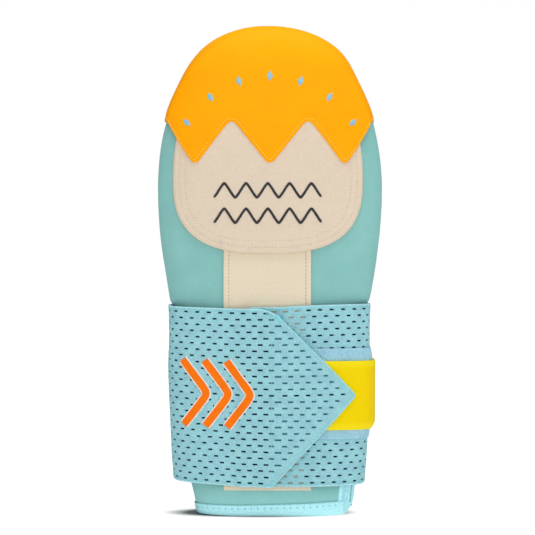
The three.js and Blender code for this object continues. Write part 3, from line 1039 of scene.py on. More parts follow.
sideBinding = {
    "inset": 0.2,
    "lift": 0.1,
    "bottom": 7.3,
    "top": 96.0,
    "stitchInset": -0.55,
    "stitchLift": 0.66,
    "profile": [
        (-1.15, 0.1), (-1.05, 0.4), (-0.8, 0.6), (-0.4, 0.68), (0, 0.64), (0.4, 0.66),
        (0.8, 0.56), (1.05, 0.34), (1.15, -0.5), (0.9, -0.6), (0, 0.0), (-0.9, 0.0),
    ],
}
rim = {
    "pitch": 3.4,  # between the elastic's dimples
    "dimple": 0.22,
    "dimpleAt": 4.7,
    "pinch": 0.1,  # at the top edge, above each dimple
    "pinchAt": 6.4,
    "middle": 2.6,
    "sideRise": 0.6,
    "riseFrom": (18, 44),  # how far from the middle it rises
    "tilt": (-0.9, 1.0),  # what its top edge gains at the left and at the right
    "columnsPerPitch": 6,
    "endRidge": 2.2,
    "ridgeHeight": 0.8,
    "dots": [  # height, lift and size of the marks that the elastic's thread leaves
        (4.7, 0.72, (1.5, 0.3, 1.0)),
        (6.2, 0.76, (0.5, 0.24, 0.5)),
    ],
    "profile": [  # lift and height, from the outer leg round the sole to the inner leg and back
        (0.3, 6.4), (0.5, 6.75), (0.76, 6.6), (0.9, 6.0), (0.96, 5.2), (0.93, 4.7), (0.93, 4.0), (0.97, 2.8),
        (1.0, 1.7), (0.86, 0.8), (0.5, 0.2), (-0.4, 0.0), (-2.6, 0.0), (-3.7, 0.2), (-4.15, 0.9), (-4.2, 3.4),
        (-4.2, 6.3), (-3.9, 6.75), (-3.4, 6.5), (-3.32, 3.4), (-3.3, 1.2), (0.28, 1.2), (0.3, 3.4),
    ],
}
rimStep = rim["pitch"] / rim["columnsPerPitch"]


def turnAtX(section, x, side):
    half, front, back, shift, middle, power = section
    share = clamp(abs(x - shift) / half)
    deep = (1 - share**power) ** (1 / power)
    deep *= -front if side == "front" else back
    return math.degrees(math.atan2(deep, x - shift))


def gussetBottom(x):
    # Its lower edge: level, then up round the curved corner
    start, bend, end = gusset["corner"]
    if x <= start[0]:
        return gusset["bottom"]
    if x >= end[0]:
        return end[1]
    t = (x - start[0]) / (end[0] - start[0])
    for _ in range(12):
        across = (1 - t) ** 2 * start[0] + 2 * t * (1 - t) * bend[0] + t * t * end[0]
        t = clamp(t + (x - across) / (end[0] - start[0]))
    return (1 - t) ** 2 * start[1] + 2 * t * (1 - t) * bend[1] + t * t * end[1]


def gussetPlace(a, b, w):
    share = a / gusset["width"]

    def spot(z):
        section = bodyAt(z, w - gusset["inset"])
        edge = gussetEdge(z) + form["gap"]
        start, end = (turnAtX(section, edge, side) for side in ("front", "back"))
        return ringPoint(section, start + (end - start) * share)

    bottom = gussetBottom(spot(4)[0])
    (drawn, drawnTo), (depth, length, foldsTo) = gusset["rimFold"], gusset["folds"]
    fold = drawn * hump(b, drawnTo) + depth * math.sin(b / length * math.pi) * hump(b, foldsTo)
    z = bottom + (gusset["top"] - bottom - form["gap"]) * b / gusset["top"]
    x, y = spot(z)
    return Vector((x - fold * max(0, math.cos(math.radians(90 * (share - 0.5)))), y, z))


def edgePlace(side):
    # Across and up on the front, or on the back with across turned round
    def place(a, b, w):
        x = a if side == "front" else -a
        half, front, back, shift, middle, power = bodyAt(b, w)
        share = clamp(abs(x - shift) / half)
        deep = (1 - share**power) ** (1 / power)
        return Vector((x, middle + (-front if side == "front" else back) * deep, b))

    return place


sideGusset = newGrid("sideGusset", gusset["columns"], gusset["rows"], gusset["width"], gusset["top"])
thicken(sideGusset, gusset["thickness"], gusset["edgeRound"])
lay(sideGusset, gussetPlace)
roundShade(sideGusset)
keep(sideGusset, finishes["gusset"], "gusset_knit", "side_gusset")

# A dark teal cord along the gusset's fold; its darkness is painted shade along the folded edge
creasePath = [(gusset["crease"] * gusset["width"], b) for b in np.linspace(*gusset["creaseRun"], 80)]
creaseTurns = np.linspace(2 * math.pi, 0, 8, endpoint=False)
creaseProfile = [(0.34 * math.cos(t), 0.18 * math.sin(t)) for t in creaseTurns]
gussetFoldShadeCord = ribbon("gussetFoldShadeCord", gussetPlace, creasePath, creaseProfile, 0.8, lift=0.06)
keep(gussetFoldShadeCord, finishes["tealThread"], "gusset_knit")


def sidePath(side, inset):
    sign = 1 if side == "front" else -1
    heights = np.linspace(sideBinding["bottom"], sideBinding["top"], 90)
    return [(sign * (gussetEdge(z) - inset), z) for z in heights]


for side in ("front", "back"):
    name = "sideBinding" + side.title()
    middle = sidePath(side, sideBinding["inset"])
    tape = ribbon(name, edgePlace(side), middle, sideBinding["profile"], 0.5, lift=sideBinding["lift"])
    keep(tape, finishes["binding"], "binding_tape", "side_binding_" + side)
    path = sidePath(side, sideBinding["stitchInset"])
    lift = sideBinding["stitchLift"]
    seam = stitches(name + "Stitches", edgePlace(side), path, (1.5, 0.4, 0.36), 2.4, lift=lift)
    keep(seam, finishes["rimThread"], "binding_tape")


def rimTurns():
    # Turns round the rim at even steps, from the gusset's front edge to its back edge
    section = bodyAt(0, 0)
    front = 360 + turnAtX(section, gussetEdge(0) - 0.2, "front")
    back = turnAtX(section, gussetEdge(0) - 0.2, "back")
    turns = np.linspace(front, back, 1200)
    spots = np.array([ringPoint(section, turn) for turn in turns])
    lengths = np.concatenate([[0], np.cumsum(np.hypot(*np.diff(spots, axis=0).T))])
    count = round(lengths[-1] / rim["pitch"])
    at = np.linspace(0, lengths[-1], count * rim["columnsPerPitch"] + 1)
    return np.interp(at, lengths, turns), count


rimTurnList, rimDimples = rimTurns()


def rimLift(column, lift, z):
    # On the outer leg: dimples half way up, and a folded ridge at each end
    share = (column % rim["columnsPerPitch"]) / rim["columnsPerPitch"]
    along = min(share, 1 - share) * rim["pitch"]
    if lift > 0.29:
        lift -= rim["dimple"] * hump(along, 0.85) * hump(z - rim["dimpleAt"], 1.0)
        lift -= rim["pinch"] * hump(along, 0.6) * hump(z - rim["pinchAt"], 0.7)
        fromEnd = min(column, len(rimTurnList) - 1 - column) * rimStep
        lift += rim["ridgeHeight"] * (1 - smooth(fromEnd, rim["endRidge"] * 0.75, rim["endRidge"]))
    return lift


def rimSpot(turn, z, lift):
    # The rim rises a little towards its sides, and its top edge leans
    spot = ringPlace(turn, z, lift)
    toRight = spot.x - rim["middle"]
    spot.z += rim["sideRise"] * smooth(abs(toRight), *rim["riseFrom"])
    atLeft, atRight = smooth(-toRight, -10, 44), smooth(toRight, 0, 36)
    gains = rim["tilt"][0] * atLeft + rim["tilt"][1] * atRight
    spot.z += gains * smooth(z, 1.5, 5.5)
    return spot


def rimPlace(a, b, w):
    column = round(a)
    lift, z = rim["profile"][round(b) % len(rim["profile"])]
    return rimSpot(rimTurnList[column], z, rimLift(column, lift, z))


columns, rows = len(rimTurnList) - 1, len(rim["profile"])
rimBinding = newGrid("rimBinding", columns, rows, columns, rows)
lay(rimBinding, rimPlace)
mergeClose(rimBinding, 1e-6)
closeHoles(rimBinding)
roundShade(rimBinding, 55)
keep(rimBinding, finishes["binding"], "binding_tape", "rim_binding")


def rimDots():
    # Marks of the thread in each dimple but the first and the last
    placements = []
    template = threadTemplate()
    for k in range(rimDimples):
        turn = rimTurnList[k * rim["columnsPerPitch"]]
        for z, lift, size in rim["dots"]:
            spot = toScene(rimSpot(turn, z, lift))
            beside = (toScene(rimSpot(turn + 0.2, z, lift)) - spot).normalized()
            outward = beside.cross(Vector((0, 0, 1))).normalized()
            axes = Matrix((beside * size[0], outward * size[1], Vector((0, 0, size[2])))).transposed() * mm
            placements.append(Matrix.Translation(spot) @ axes.to_4x4())
    piece = scatter("rimStitches", template, placements[2:-2])
    drop(template)
    return piece


keep(rimDots(), finishes["rimThread"], "binding_tape")
print("cuff made")

# Centre strip: canvas folded in at both sides, with a stitch line along each

strip = {
    "left": -25.5,
    "right": 22.7,
    "bottom": 14.5,
    "top": 151.0,  # it runs on under the pad
    "thickness": 0.8,
    "stitchInset": 2.9,
    "stitchPitch": 2.0,
}


def stripPlace(a, b, w):
    fromEdge = min(a - strip["left"], strip["right"] - a)
    fold = 0.22 * (1 - smooth(fromEdge, 2.4, 3.6)) - 0.3 * hump(fromEdge - strip["stitchInset"], 0.6)
    pull = 0.1 * math.cos(b / strip["stitchPitch"] * 2 * math.pi) * hump(fromEdge - strip["stitchInset"], 1.2)
    top = w > -strip["thickness"] / 2
    return facePlace(a, b, w + 0.3 + strip["thickness"] + (fold + pull if top else 0))


stripWidth, stripHeight = strip["right"] - strip["left"], strip["top"] - strip["bottom"]
centerStrip = newGrid("centerStrip", 96, 150, stripWidth, stripHeight, strip["left"], strip["bottom"])
thicken(centerStrip, strip["thickness"], 0.3)
lay(centerStrip, stripPlace)
roundShade(centerStrip)
keep(centerStrip, finishes["canvas"], "strip_canvas", "center_strip")

stitchEdges = {"Left": strip["left"] + strip["stitchInset"], "Right": strip["right"] - strip["stitchInset"]}
for side, edge in stitchEdges.items():
    path = line((edge, strip["bottom"] + 1.5), (edge, strip["top"] - 4))
    name = "stripStitches" + side
    seam = stitches(name, facePlace, path, (1.15, 0.45, 0.36), strip["stitchPitch"], lift=1.02)
    keep(seam, finishes["canvasThread"], "strip_canvas")

# Hand pad: a stiff plate in suede, with a turned edge and two needle lines

pad = {
    "centre": -1.1,
    "half": 52.8,
    "middle": 187.0,
    "down": 42.0,
    "up": 72.0,
    "downPower": 2.7,
    "upPower": 2.2,
    "base": 0.3,
    "thickness": 2.15,
    "edgeRound": 1.5,
    "grid": 112,
    "needleLines": (3.4, 7.0),
    "needlePitch": 1.9,
    "grooveDepth": 0.14,
    "edgeHeight": 0.25,
    "fullness": (0.2, 8, 22),  # what it gains, and between which distances from its edge
    "pucker": (0.22, 3.2),  # height and length of the puckers between its needle lines
    "stripStep": 0.95,  # how far the strip under it lifts it
}


def padOutline(angle):
    up = math.sin(angle) > 0
    bend = 2 / (pad["upPower"] if up else pad["downPower"])
    reach = pad["up"] if up else -pad["down"]
    across = math.copysign(abs(math.cos(angle)) ** bend, math.cos(angle))
    return pad["centre"] + pad["half"] * across, pad["middle"] + reach * abs(math.sin(angle)) ** bend


def evenLoop(outline, count):
    # Even spots round a closed outline that is given by its angle
    angles = np.linspace(0, 2 * math.pi, 2881)
    spots = np.array([outline(angle) for angle in angles])
    lengths = np.concatenate([[0], np.cumsum(np.hypot(*np.diff(spots, axis=0).T))])
    at = np.linspace(0, lengths[-1], count + 1)
    return np.stack([np.interp(at, lengths, spots[:, k]) for k in (0, 1)], axis=1)


padEdge = evenLoop(padOutline, 4 * pad["grid"])
padEdgeFine = evenLoop(padOutline, 2000)


def insetLoop(loop, distance):
    run = np.roll(loop[:-1], -1, axis=0) - np.roll(loop[:-1], 1, axis=0)
    normal = np.stack([-run[:, 1], run[:, 0]], axis=1)
    normal /= np.hypot(*normal.T)[:, None]
    moved = loop[:-1] + normal * distance
    return [tuple(spot) for spot in np.concatenate([moved, moved[:1]])]


def padInset(x, z):
    return float(np.hypot(*(padEdgeFine - (x, z)).T).min())


def padSpot(a, b):
    # The square cut's rings become rings of the pad's outline, closer together at its edge
    s, t = 2 * a - 1, 2 * b - 1
    ring = max(abs(s), abs(t))
    if ring < 1e-6:
        return pad["centre"], pad["middle"]
    s, t = s / ring, t / ring
    if t <= -1 + 1e-9:
        corner = s + 1
    elif s >= 1 - 1e-9:
        corner = 2 + t + 1
    elif t >= 1 - 1e-9:
        corner = 4 + 1 - s
    else:
        corner = 6 + 1 - t
    # The square starts at its lower left corner, the outline at its right
    share = (corner / 8 - 3 / 8) % 1
    x, z = (np.interp(share * 4 * pad["grid"], np.arange(len(padEdge)), padEdge[:, k]) for k in (0, 1))
    toEdge = 1 - ring
    reach = 1 - (0.3 * toEdge + 0.7 * toEdge**1.6)
    return pad["centre"] + (x - pad["centre"]) * reach, pad["middle"] + (z - pad["middle"]) * reach


def padLift(x, z, inset):
    share = clamp(inset / pad["edgeRound"])
    edgeHeight = pad["edgeHeight"]
    height = edgeHeight + (pad["thickness"] - edgeHeight) * math.sqrt(1 - (1 - share) ** 2)
    gain, low, high = pad["fullness"]
    height += gain * smooth(inset, low, high)
    for needle in pad["needleLines"]:
        height -= pad["grooveDepth"] * hump(inset - needle, 0.75)
    rise, length = pad["pucker"]
    height += rise * noise.noise(Vector((x, z, 3)) / length) * hump(inset - 4.5, 3.2)
    return height


def overStrip(x, z):
    left, right, top = strip["left"], strip["right"], strip["top"]
    across = smooth(x, left - 2.5, left) * (1 - smooth(x, right, right + 2.5))
    return pad["stripStep"] * across * (1 - smooth(z, top - 1, top + 9))


def padPlace(a, b, w):
    x, z = padSpot(a, b)
    lift = pad["base"] + overStrip(x, z)
    if w > -0.5:
        lift += padLift(x, z, padInset(x, z))
    return facePlace(x, z, lift)


handPad = newGrid("handPad", pad["grid"], pad["grid"])
applyModifier(handPad, "SOLIDIFY", thickness=1, offset=-1)
lay(handPad, padPlace)
editAll(handPad)
bpy.ops.mesh.normals_make_consistent(inside=False)
leaveEdit()
roundShade(handPad, 50)
keep(handPad, finishes["suede"], "pad_suede", "hand_pad")


def padFace(x, z, w):
    return facePlace(x, z, pad["base"] + overStrip(x, z) + pad["thickness"] + w)


for number, inset in enumerate(pad["needleLines"]):
    path = insetLoop(padEdge, inset)
    name = f"padStitches{number + 1}"
    seam = stitches(name, padFace, path, (0.7, 0.42, 0.3), pad["needlePitch"], lift=-0.16)
    keep(seam, finishes["padThread"], "pad_suede")
print("strip and pad made")

# Toe cap: leather with a toothed lower edge, turned under and sewn down

cap = {
    "toothHalf": 18.0,
    "tip": 193.0,
    "root": 219.0,
    "round": 2.6,
    "thickness": 0.8,
    "slopeStart": 1.04,  # the cap comes down off the pad between these shares of its outline
    "slopeEnd": 1.2,
    "overPad": 2.6,
    "columns": 190,
    "rows": 66,
    "stitchInset": 1.5,
    "stitchPitch": 2.0,
    "base": 0.12,
    "behind": 0.35,  # how much closer it lies to the back panel, and up to which heights
    "behindHeights": (245, 264),
    "fullness": 0.2,
    "groove": 0.34,  # how deep its stitches pull it in
    "turnedEdge": 0.5,
    "pucker": (0.12, 3.0),
    "rowShares": (0.14, 0.86),  # how its rows draw closer together towards its lower edge
    "fineHalf": 70,
}


def capCorners():
    # The toothed edge as spots across and up, its corners rounded as the frame's are
    slope = (cap["root"] - cap["tip"]) / cap["toothHalf"]
    spots = [(-90.0, cap["root"])]
    for turn in range(-3, 4):
        x = turn * cap["toothHalf"]
        isTip = turn % 2 == 0
        height = cap["tip"] if isTip else cap["root"]
        back = height + slope * cap["round"] * (1 if isTip else -1)
        start = (x - cap["round"], height if turn == -3 else back)
        end = (x + cap["round"], height if turn == 3 else back)
        for t in np.linspace(0, 1, 9):
            across = (1 - t) ** 2 * start[0] + 2 * t * (1 - t) * x + t * t * end[0]
            up = (1 - t) ** 2 * start[1] + 2 * t * (1 - t) * height + t * t * end[1]
            spots.append((across, up))
    return np.array(spots + [(90.0, cap["root"])])


capLine = capCorners()
fineAcross = np.linspace(-cap["fineHalf"], cap["fineHalf"], 20 * cap["fineHalf"] + 1)
capFine = np.stack([fineAcross, np.interp(fineAcross, capLine[:, 0], capLine[:, 1])], axis=1)


def capInset(x, z):
    # Distance from the toothed edge, more than 0 inside the cap
    distance = float(np.hypot(*(capFine - (x, z)).T).min())
    return distance if z > np.interp(x, capLine[:, 0], capLine[:, 1]) else -distance


@lru_cache(maxsize=None)
def capStart(a, inset):
    # How far up the front panel's cut the cap begins, or a line that far inside its edge
    def isOutside(b):
        turn = panelTurn("front", a, b)[0]
        section, z = clothRow(b, 0)
        return capInset(ringPoint(section, turn)[0], z) < inset

    return halve(183.0, 246.0, isOutside, 12)


def padCover(x, z):
    up = z > pad["middle"]
    power = pad["upPower"] if up else pad["downPower"]
    reach = pad["up"] if up else pad["down"]
    ratio = abs((x - pad["centre"]) / pad["half"]) ** power + abs((z - pad["middle"]) / reach) ** power
    return 1 - smooth(ratio ** (1 / power), cap["slopeStart"], cap["slopeEnd"])


def capSurface(a, b, w):
    turn = panelTurn("front", a, b)[0]
    section, z = clothRow(b, 0)
    x, y = ringPoint(section, turn)
    sine = math.sin(math.radians(turn))
    inset = capInset(x, z)
    lift = cap["base"] + cap["thickness"] + (cap["overPad"] * padCover(x, z) if sine < 0 else 0)
    lift -= cap["behind"] * smooth(sine, -0.12, 0.1) * (1 - smooth(z, *cap["behindHeights"]))
    lift += cap["fullness"] * smooth(inset, 2.2, 6)
    lift -= cap["groove"] * hump(inset - cap["stitchInset"], 0.5)
    lift -= cap["turnedEdge"] * (1 - smooth(inset, 0, 0.8))
    rise, length = cap["pucker"]
    lift += rise * noise.noise(Vector((x, z, 5)) / length) * hump(inset - 3.6, 2.4)
    section, z = clothRow(b, lift + w)
    x, y = ringPoint(section, turn)
    return Vector((x, y, z))


def capPlace(a, b, w):
    low = capStart(round(a, 3), 0.0)
    even, drawn = cap["rowShares"]
    share = even * b + drawn * b * b
    return capSurface(a, low + (crownTop - low) * share, w)


toeCap = newGrid("toeCap", cap["columns"], cap["rows"], body["frontWidth"], 1)
lay(toeCap, capPlace)
mergeClose(toeCap, 1e-5)
closeSeam(toeCap, 0.5 * mm)
capShare = thinTowards(toeCap, *body["thinWall"])
thicken(toeCap, cap["thickness"] * mm, 0.35 * mm, wallShare=capShare, sharpest=1.4)
roundShade(toeCap, 50)
keep(toeCap, finishes["leather"], "toe_cap_leather", "toe_cap")

capAcross = np.linspace(1.5, body["frontWidth"] - 1.5, 260)
capPath = [(a, capStart(round(a, 3), cap["stitchInset"])) for a in capAcross]
capStitches = stitches("capStitches", capSurface, capPath, (1.5, 0.5, 0.45), cap["stitchPitch"], lift=0.1)
keep(capStitches, finishes["capThread"], "toe_cap_leather")

# Embroidery: plain diamonds on the cap and two zigzag rows on the pad, in satin stitch

satin = {
    "diamondCentre": 176.0,
    "diamondReach": 68.0,
    "diamondSquash": 0.86,  # how much narrower than round their arc is
    "diamondTurns": (38, 55.5, 73, 90, 107, 124.5, 142),
    "diamondLength": 6.4,
    "diamondWidth": 3.6,
    "rows": (180.0, 166.0),
    "rowHalf": 30.0,
    "amplitude": 4.0,
    "period": 12.0,
    "stroke": 1.5,
    "underside": -0.4,  # how low its profile goes, as a share of its height
}


def capFace(x, z, w):
    lift = cap["base"] + cap["thickness"] + cap["overPad"] * padCover(x, z) + cap["fullness"]
    return facePlace(x, z, lift + w)


def satinProfile(width, height):
    turns = np.linspace(0, 2 * math.pi, 10, endpoint=False)
    spots = [(math.cos(t) * width / 2, max(math.sin(t), satin["underside"]) * height) for t in turns]
    return spots[::-1]


def satinLine(name, place, path, width, height, lift, tapered=0.0):
    total = sum(math.dist(p, q) for p, q in zip(path, path[1:]))

    def taper(at, sideways, up):
        size = 1 if not tapered else clamp(min(at, total - at) / tapered, thinnest, 1)
        return sideways * size, up * min(1, 2 * size)

    return ribbon(name, place, path, satinProfile(width, height), 0.3, lift=lift, shape=taper)


diamonds = []
for number, degrees in enumerate(satin["diamondTurns"]):
    angle = math.radians(degrees)
    reaches = [satin["diamondReach"] + side * satin["diamondLength"] / 2 for side in (-1, 1)]
    across, up = satin["diamondSquash"] * math.cos(angle), math.sin(angle)
    path = line(*((reach * across, satin["diamondCentre"] + reach * up) for reach in reaches), 30)
    half = satin["diamondLength"] / 2
    diamonds.append(satinLine(f"diamond{number}", capFace, path, satin["diamondWidth"], 0.45, 0.0, half))
keep(joinPieces("capDiamonds", diamonds), finishes["blueSatin"], "toe_cap_leather")


def zigzagRow(height):
    half, period = satin["rowHalf"], satin["period"]
    spots = []
    for x in np.linspace(-half, half, 400):
        phase = (x + half) / period
        wave = 4 * abs(phase - math.floor(phase + 0.5)) - 1
        wave = math.copysign(1 - (1 - abs(wave)) ** 1.25, wave)
        spots.append((x + pad["centre"], height + satin["amplitude"] * wave))
    return spots


for number, height in enumerate(satin["rows"]):
    row = satinLine(f"padZigzag{number + 1}", padFace, zigzagRow(height), satin["stroke"], 0.5, 0.15, 1.0)
    keep(row, finishes["blackSatin"], "pad_suede")
print("cap and embroidery made")

# Wrist band: one elastic mesh strip that goes round the wrist one and a quarter times

slackTurn, slackSpread = 360, 32  # the right side, where band, tape and strap stand off a little
frontTurn = 630  # the middle of the front, on the band's second turn
band = {
    "start": 245.0,
    "span": 470,  # how many degrees of turn it is followed for
    "flapTurns": (540, 712),  # where its second turn crosses the front
    "top": 117.6,
    "bottom": 20.2,
    "topDip": 1.9,
    "bottomDip": 3.4,
    "firstDip": 0.85,  # how much of it the first turn has
    "firstEnd": 450,
    "dipFrom": (0.1, 0.7),  # where on the front's side the dips begin, and how soon they are full
    "dipPowers": (0.75, 0.35),  # how they set in at the left and at the right
    "tilt": 0.7,  # how much lower the lower edge is at the right
    "slack": 0.5,  # how far it stands off at the right
    "flapDrop": 0.8,  # the flap's top edge lies a little below the first turn's
    "dropTurns": (462, 535),
    "stripTurns": (270, 312),  # where the centre strip shows through the first turn's slots
    "thickness": 1.6,
    "mesh": 0.6,
    "flapCorner": 0.8,
    "flapPoint": 47.0,
    "pointHeight": 67.4,
    "pointHalf": 0.8,
    "underStrap": 1.9,
    "overLoop": 2.8,
    "overStrap": 4.3,
    "climbStart": 18.0,
    "tapeClimbStart": 36.0,
    "climbEnd": 3.0,
    "loopFrom": 284.0,
    "pitchAcross": 6.4,
    "pitchUp": 3.43,
    "columnAt": 0.9,
    "pastSeam": (0.9, 0.009),  # how far the columns move right after the flap's seam, and how it grows
    "slotRoom": 3.2,  # the flap's slanting edges have no slots nearer than this
    "rings": [  # the east, north-east and north spots of the slot, of its lip and of the cell
        ((1.45, 0), (1.41, 0.48), (0, 0.49)),
        ((1.68, 0), (1.52, 0.76), (0, 0.78)),
        ((3.2, 0), (3.2, 1.715), (0, 1.715)),
    ],
    "lip": 0.08,
    "cornerRound": [  # the flap corner's chords: across, and down from the edge
        (-6.0, 0.0), (-0.2, 1.3), (4.6, 4.05),
    ],
    "weave": (0.1, 2.3),  # height and length of the mesh's own unevenness
    "sheetPitch": 2.4,
    "slotShade": (0.2, 0.35, 0.6),  # depth behind the mesh, thickness and inset of the sheets behind it
    "backing": (0.6, 0.3, 0.5),
    "hookPads": (0.03, 0.14, 2.2),
    "hookGap": 1.75,  # half the gap between the two hook pads
    "hookFrom": -0.8,
    "stripBehind": (0.03, 0.14, 0.8),
    "hemInset": 0.45,
}
band["height"] = band["top"] - band["bottom"]


def bandOffset(turn):
    under, over = band["underStrap"], band["overStrap"] - band["underStrap"]
    first, second = band["start"] + 360, band["loopFrom"] + 360
    climb = smooth(turn, first - band["climbStart"], first - band["climbEnd"])
    climb2 = smooth(turn, second - band["tapeClimbStart"], second - band["climbEnd"])
    return under * climb + over * climb2 + band["slack"] * hump(turn - slackTurn, slackSpread)


def bandSection(z, lift):
    half, front, back, shift = tableRow("band", round(z, 2))
    return half + lift, front + lift, back + lift, shift, curlAt(z), form["bandPower"]


def bandTurns():
    turns = np.arange(band["start"], band["start"] + band["span"], 0.5)
    spots = []
    for turn in turns:
        section = bandSection(band["pointHeight"], bandOffset(turn) + band["thickness"])
        spots.append(ringPoint(section, turn))
    steps = np.hypot(*np.diff(np.array(spots), axis=0).T)
    return turns, np.concatenate([[0], np.cumsum(steps)]), np.array(spots)


bandTurnList, bandLengths, bandSpots = bandTurns()


def bandHeight(turn, b):
    sine, cosine = math.sin(math.radians(turn)), math.cos(math.radians(turn))
    (low, span), (leftPower, rightPower) = band["dipFrom"], band["dipPowers"]
    front = clamp((-sine - low) / span)
    isLeft = cosine < 0
    bottom = band["bottom"] - band["tilt"] * cosine
    dip = band["bottomDip"] * front ** (leftPower if isLeft else rightPower)
    bottom -= dip * (1 if turn > band["firstEnd"] else band["firstDip"])
    top = band["top"] - band["topDip"] * (front**leftPower if isLeft else min(sine, 0) ** 2)
    top -= band["flapDrop"] * smooth(turn, *band["dropTurns"])
    return bottom + (top - bottom) * b / band["height"]


def bandPlace(a, b, w):
    # Across along the band from its hidden start, up from its lower edge, 0 at its outer face
    turn = float(np.interp(a, bandLengths, bandTurnList))
    z = bandHeight(turn, b)
    x, y = ringPoint(bandSection(z, bandOffset(turn) + band["thickness"] + w), turn)
    return Vector((x, y, z))


def flapAcross(x):
    # How far along the band its second turn passes a place on the front
    first, last = band["flapTurns"]
    isFlap = (bandTurnList > first) & (bandTurnList < last)
    return float(np.interp(x, bandSpots[isFlap, 0], bandLengths[isFlap]))


def bandUp(turn, z):
    # How far up the band's flat cut a height on the mitt lies
    low, high = bandHeight(turn, 0), bandHeight(turn, band["height"])
    return (z - low) / (high - low) * band["height"]


flapTip = flapAcross(band["flapPoint"])
flapTurn = float(np.interp(flapTip, bandLengths, bandTurnList))
tipLow = bandUp(flapTurn, band["pointHeight"] - band["pointHalf"])
tipHigh = bandUp(flapTurn, band["pointHeight"] + band["pointHalf"])
flapCorner = flapAcross(band["flapCorner"])
holeColumn = flapAcross(band["columnAt"])
holeRow = bandUp(frontTurn, band["pointHeight"])


def meshTile():
    # One cell of the mesh: a slot, the lip round it, and the cell's own outline
    clearSelection()
    bpy.ops.mesh.primitive_circle_add(vertices=8, radius=1, fill_type="NOTHING")
    tile = bpy.context.object
    bpy.ops.object.mode_set(mode="EDIT")
    for _ in range(2):
        bpy.ops.mesh.extrude_region_move(TRANSFORM_OT_translate={"value": (0, 0, 0)})
        bpy.ops.transform.resize(value=(2, 2, 1))
    leaveEdit()
    for vertex in tile.data.vertices:
        ring = round(math.log2(vertex.co.xy.length))
        eighth = round(math.degrees(math.atan2(vertex.co.y, vertex.co.x)) / 45)
        across, up = band["rings"][ring][(0, 1, 2, 1)[eighth % 4]]
        angle = math.radians(45 * eighth)
        vertex.co = (math.copysign(across, math.cos(angle)), math.copysign(up, math.sin(angle)), 0)
    return tile


def repeat(piece, count, across, up):
    offset = (across, up, 0)
    applyModifier(
        piece, "ARRAY", count=count, use_relative_offset=False, use_constant_offset=True,
        constant_offset_displace=offset, use_merge_vertices=True, merge_threshold=0.001,
    )


def cutAsBand(piece, inset=0.0):
    # Trims a flat piece to the band's outline, or to one that far inside it
    height = band["height"]
    corner = [(flapCorner, height), (flapCorner, 0)]
    tip = [(flapTip, tipHigh), (flapTip, tipLow)]
    cuts = [((inset, 0), (-1, 0)), ((0, inset), (0, -1))]
    cuts += [((0, height - inset), (0, 1)), ((flapTip - inset, 0), (1, 0))]
    rounds = [(flapAcross(x), height - down) for x, down in band["cornerRound"]]
    edges = [(corner[0], tip[0], 1), (corner[1], tip[1], -1)]
    edges += [(start, end, 1) for start, end in zip(rounds, rounds[1:])]
    for (a, b), (c, d), sign in edges:
        outward = Vector((-(d - b), c - a)).normalized() * sign
        cuts.append(((a - outward.x * inset, b - outward.y * inset), outward))
    for point, outward in cuts:
        cutFlat(piece, point, outward)


def pastSeam(a):
    # How far a column of slots lies further on than the even pitch would put it
    move, growth = band["pastSeam"]
    return smooth(a, holeColumn + 1.5, holeColumn + 5) * (move + growth * (a - holeColumn))


def slotAt(a, b):
    # The middle of the nearest slot, on the even pitch
    row = round((b - holeRow) / band["pitchUp"])
    stagger = 0.5 if row % 2 else 0
    column = round((a - holeColumn) / band["pitchAcross"] - stagger)
    return holeColumn + (column + stagger) * band["pitchAcross"], holeRow + row * band["pitchUp"]


def isOpenSlot(a, b):
    # Whether a slot lies far enough inside the flap's two slanting edges
    for startUp, endUp, sign in ((band["height"], tipHigh, 1), (0, tipLow, -1)):
        run = Vector((flapTip - flapCorner, endUp - startUp))
        outward = Vector((-run.y, run.x)).normalized() * sign
        if -(Vector((a - flapCorner, b - startUp)).dot(outward)) < band["slotRoom"]:
            return False
    return True


def bandLip(a, b):
    # How close a spot of the mesh is to a slot's rim, from 0 to 1
    a -= pastSeam(a)
    slot = slotAt(a, b)
    if not isOpenSlot(*slot):
        return 0.0
    return (1 - smooth(abs(a - slot[0]), 1.3, 1.7)) * (1 - smooth(abs(b - slot[1]), 0.45, 0.85))


def meshPlace(a, b, w):
    if w > -0.1:
        rise, length = band["weave"]
        w += rise * noise.noise(Vector((a, b, 0)) / length) - band["lip"] * bandLip(a, b)
    return bandPlace(a, b, w)


wristBand = meshTile()
wristBand.name = "wristBand"
across, up = band["pitchAcross"], band["pitchUp"]
repeat(wristBand, 2, across / 2, up)
repeat(wristBand, math.ceil(flapTip / across) + 2, across, 0)
repeat(wristBand, math.ceil(band["height"] / up / 2) + 2, 0, 2 * up)
left = holeColumn - across * math.ceil(holeColumn / across + 1)
low = holeRow - 2 * up * math.ceil(holeRow / up / 2 + 0.5)
editAll(wristBand)
bpy.ops.transform.translate(value=(left, low, 0))
bpy.ops.mesh.select_all(action="DESELECT")
leaveEdit()
for vertex in wristBand.data.vertices:
    a, b = vertex.co.x, vertex.co.y
    slot = slotAt(a, b)
    isRim = abs(a - slot[0]) < 1.6 and abs(b - slot[1]) < 0.6
    vertex.select = isRim and not isOpenSlot(*slot)
    vertex.co.x += pastSeam(a)
bpy.ops.object.mode_set(mode="EDIT")
bpy.ops.mesh.fill_holes(sides=8)
bpy.ops.mesh.select_all(action="SELECT")
bpy.ops.mesh.normals_make_consistent(inside=False)
leaveEdit()
if wristBand.data.polygons[0].normal.z < 0:
    editAll(wristBand)
    bpy.ops.mesh.flip_normals()
    leaveEdit()
cutAsBand(wristBand)
thicken(wristBand, band["mesh"])
lay(wristBand, meshPlace)
roundShade(wristBand, 60)
keep(wristBand, finishes["mesh"], "band_mesh", "wrist_band")


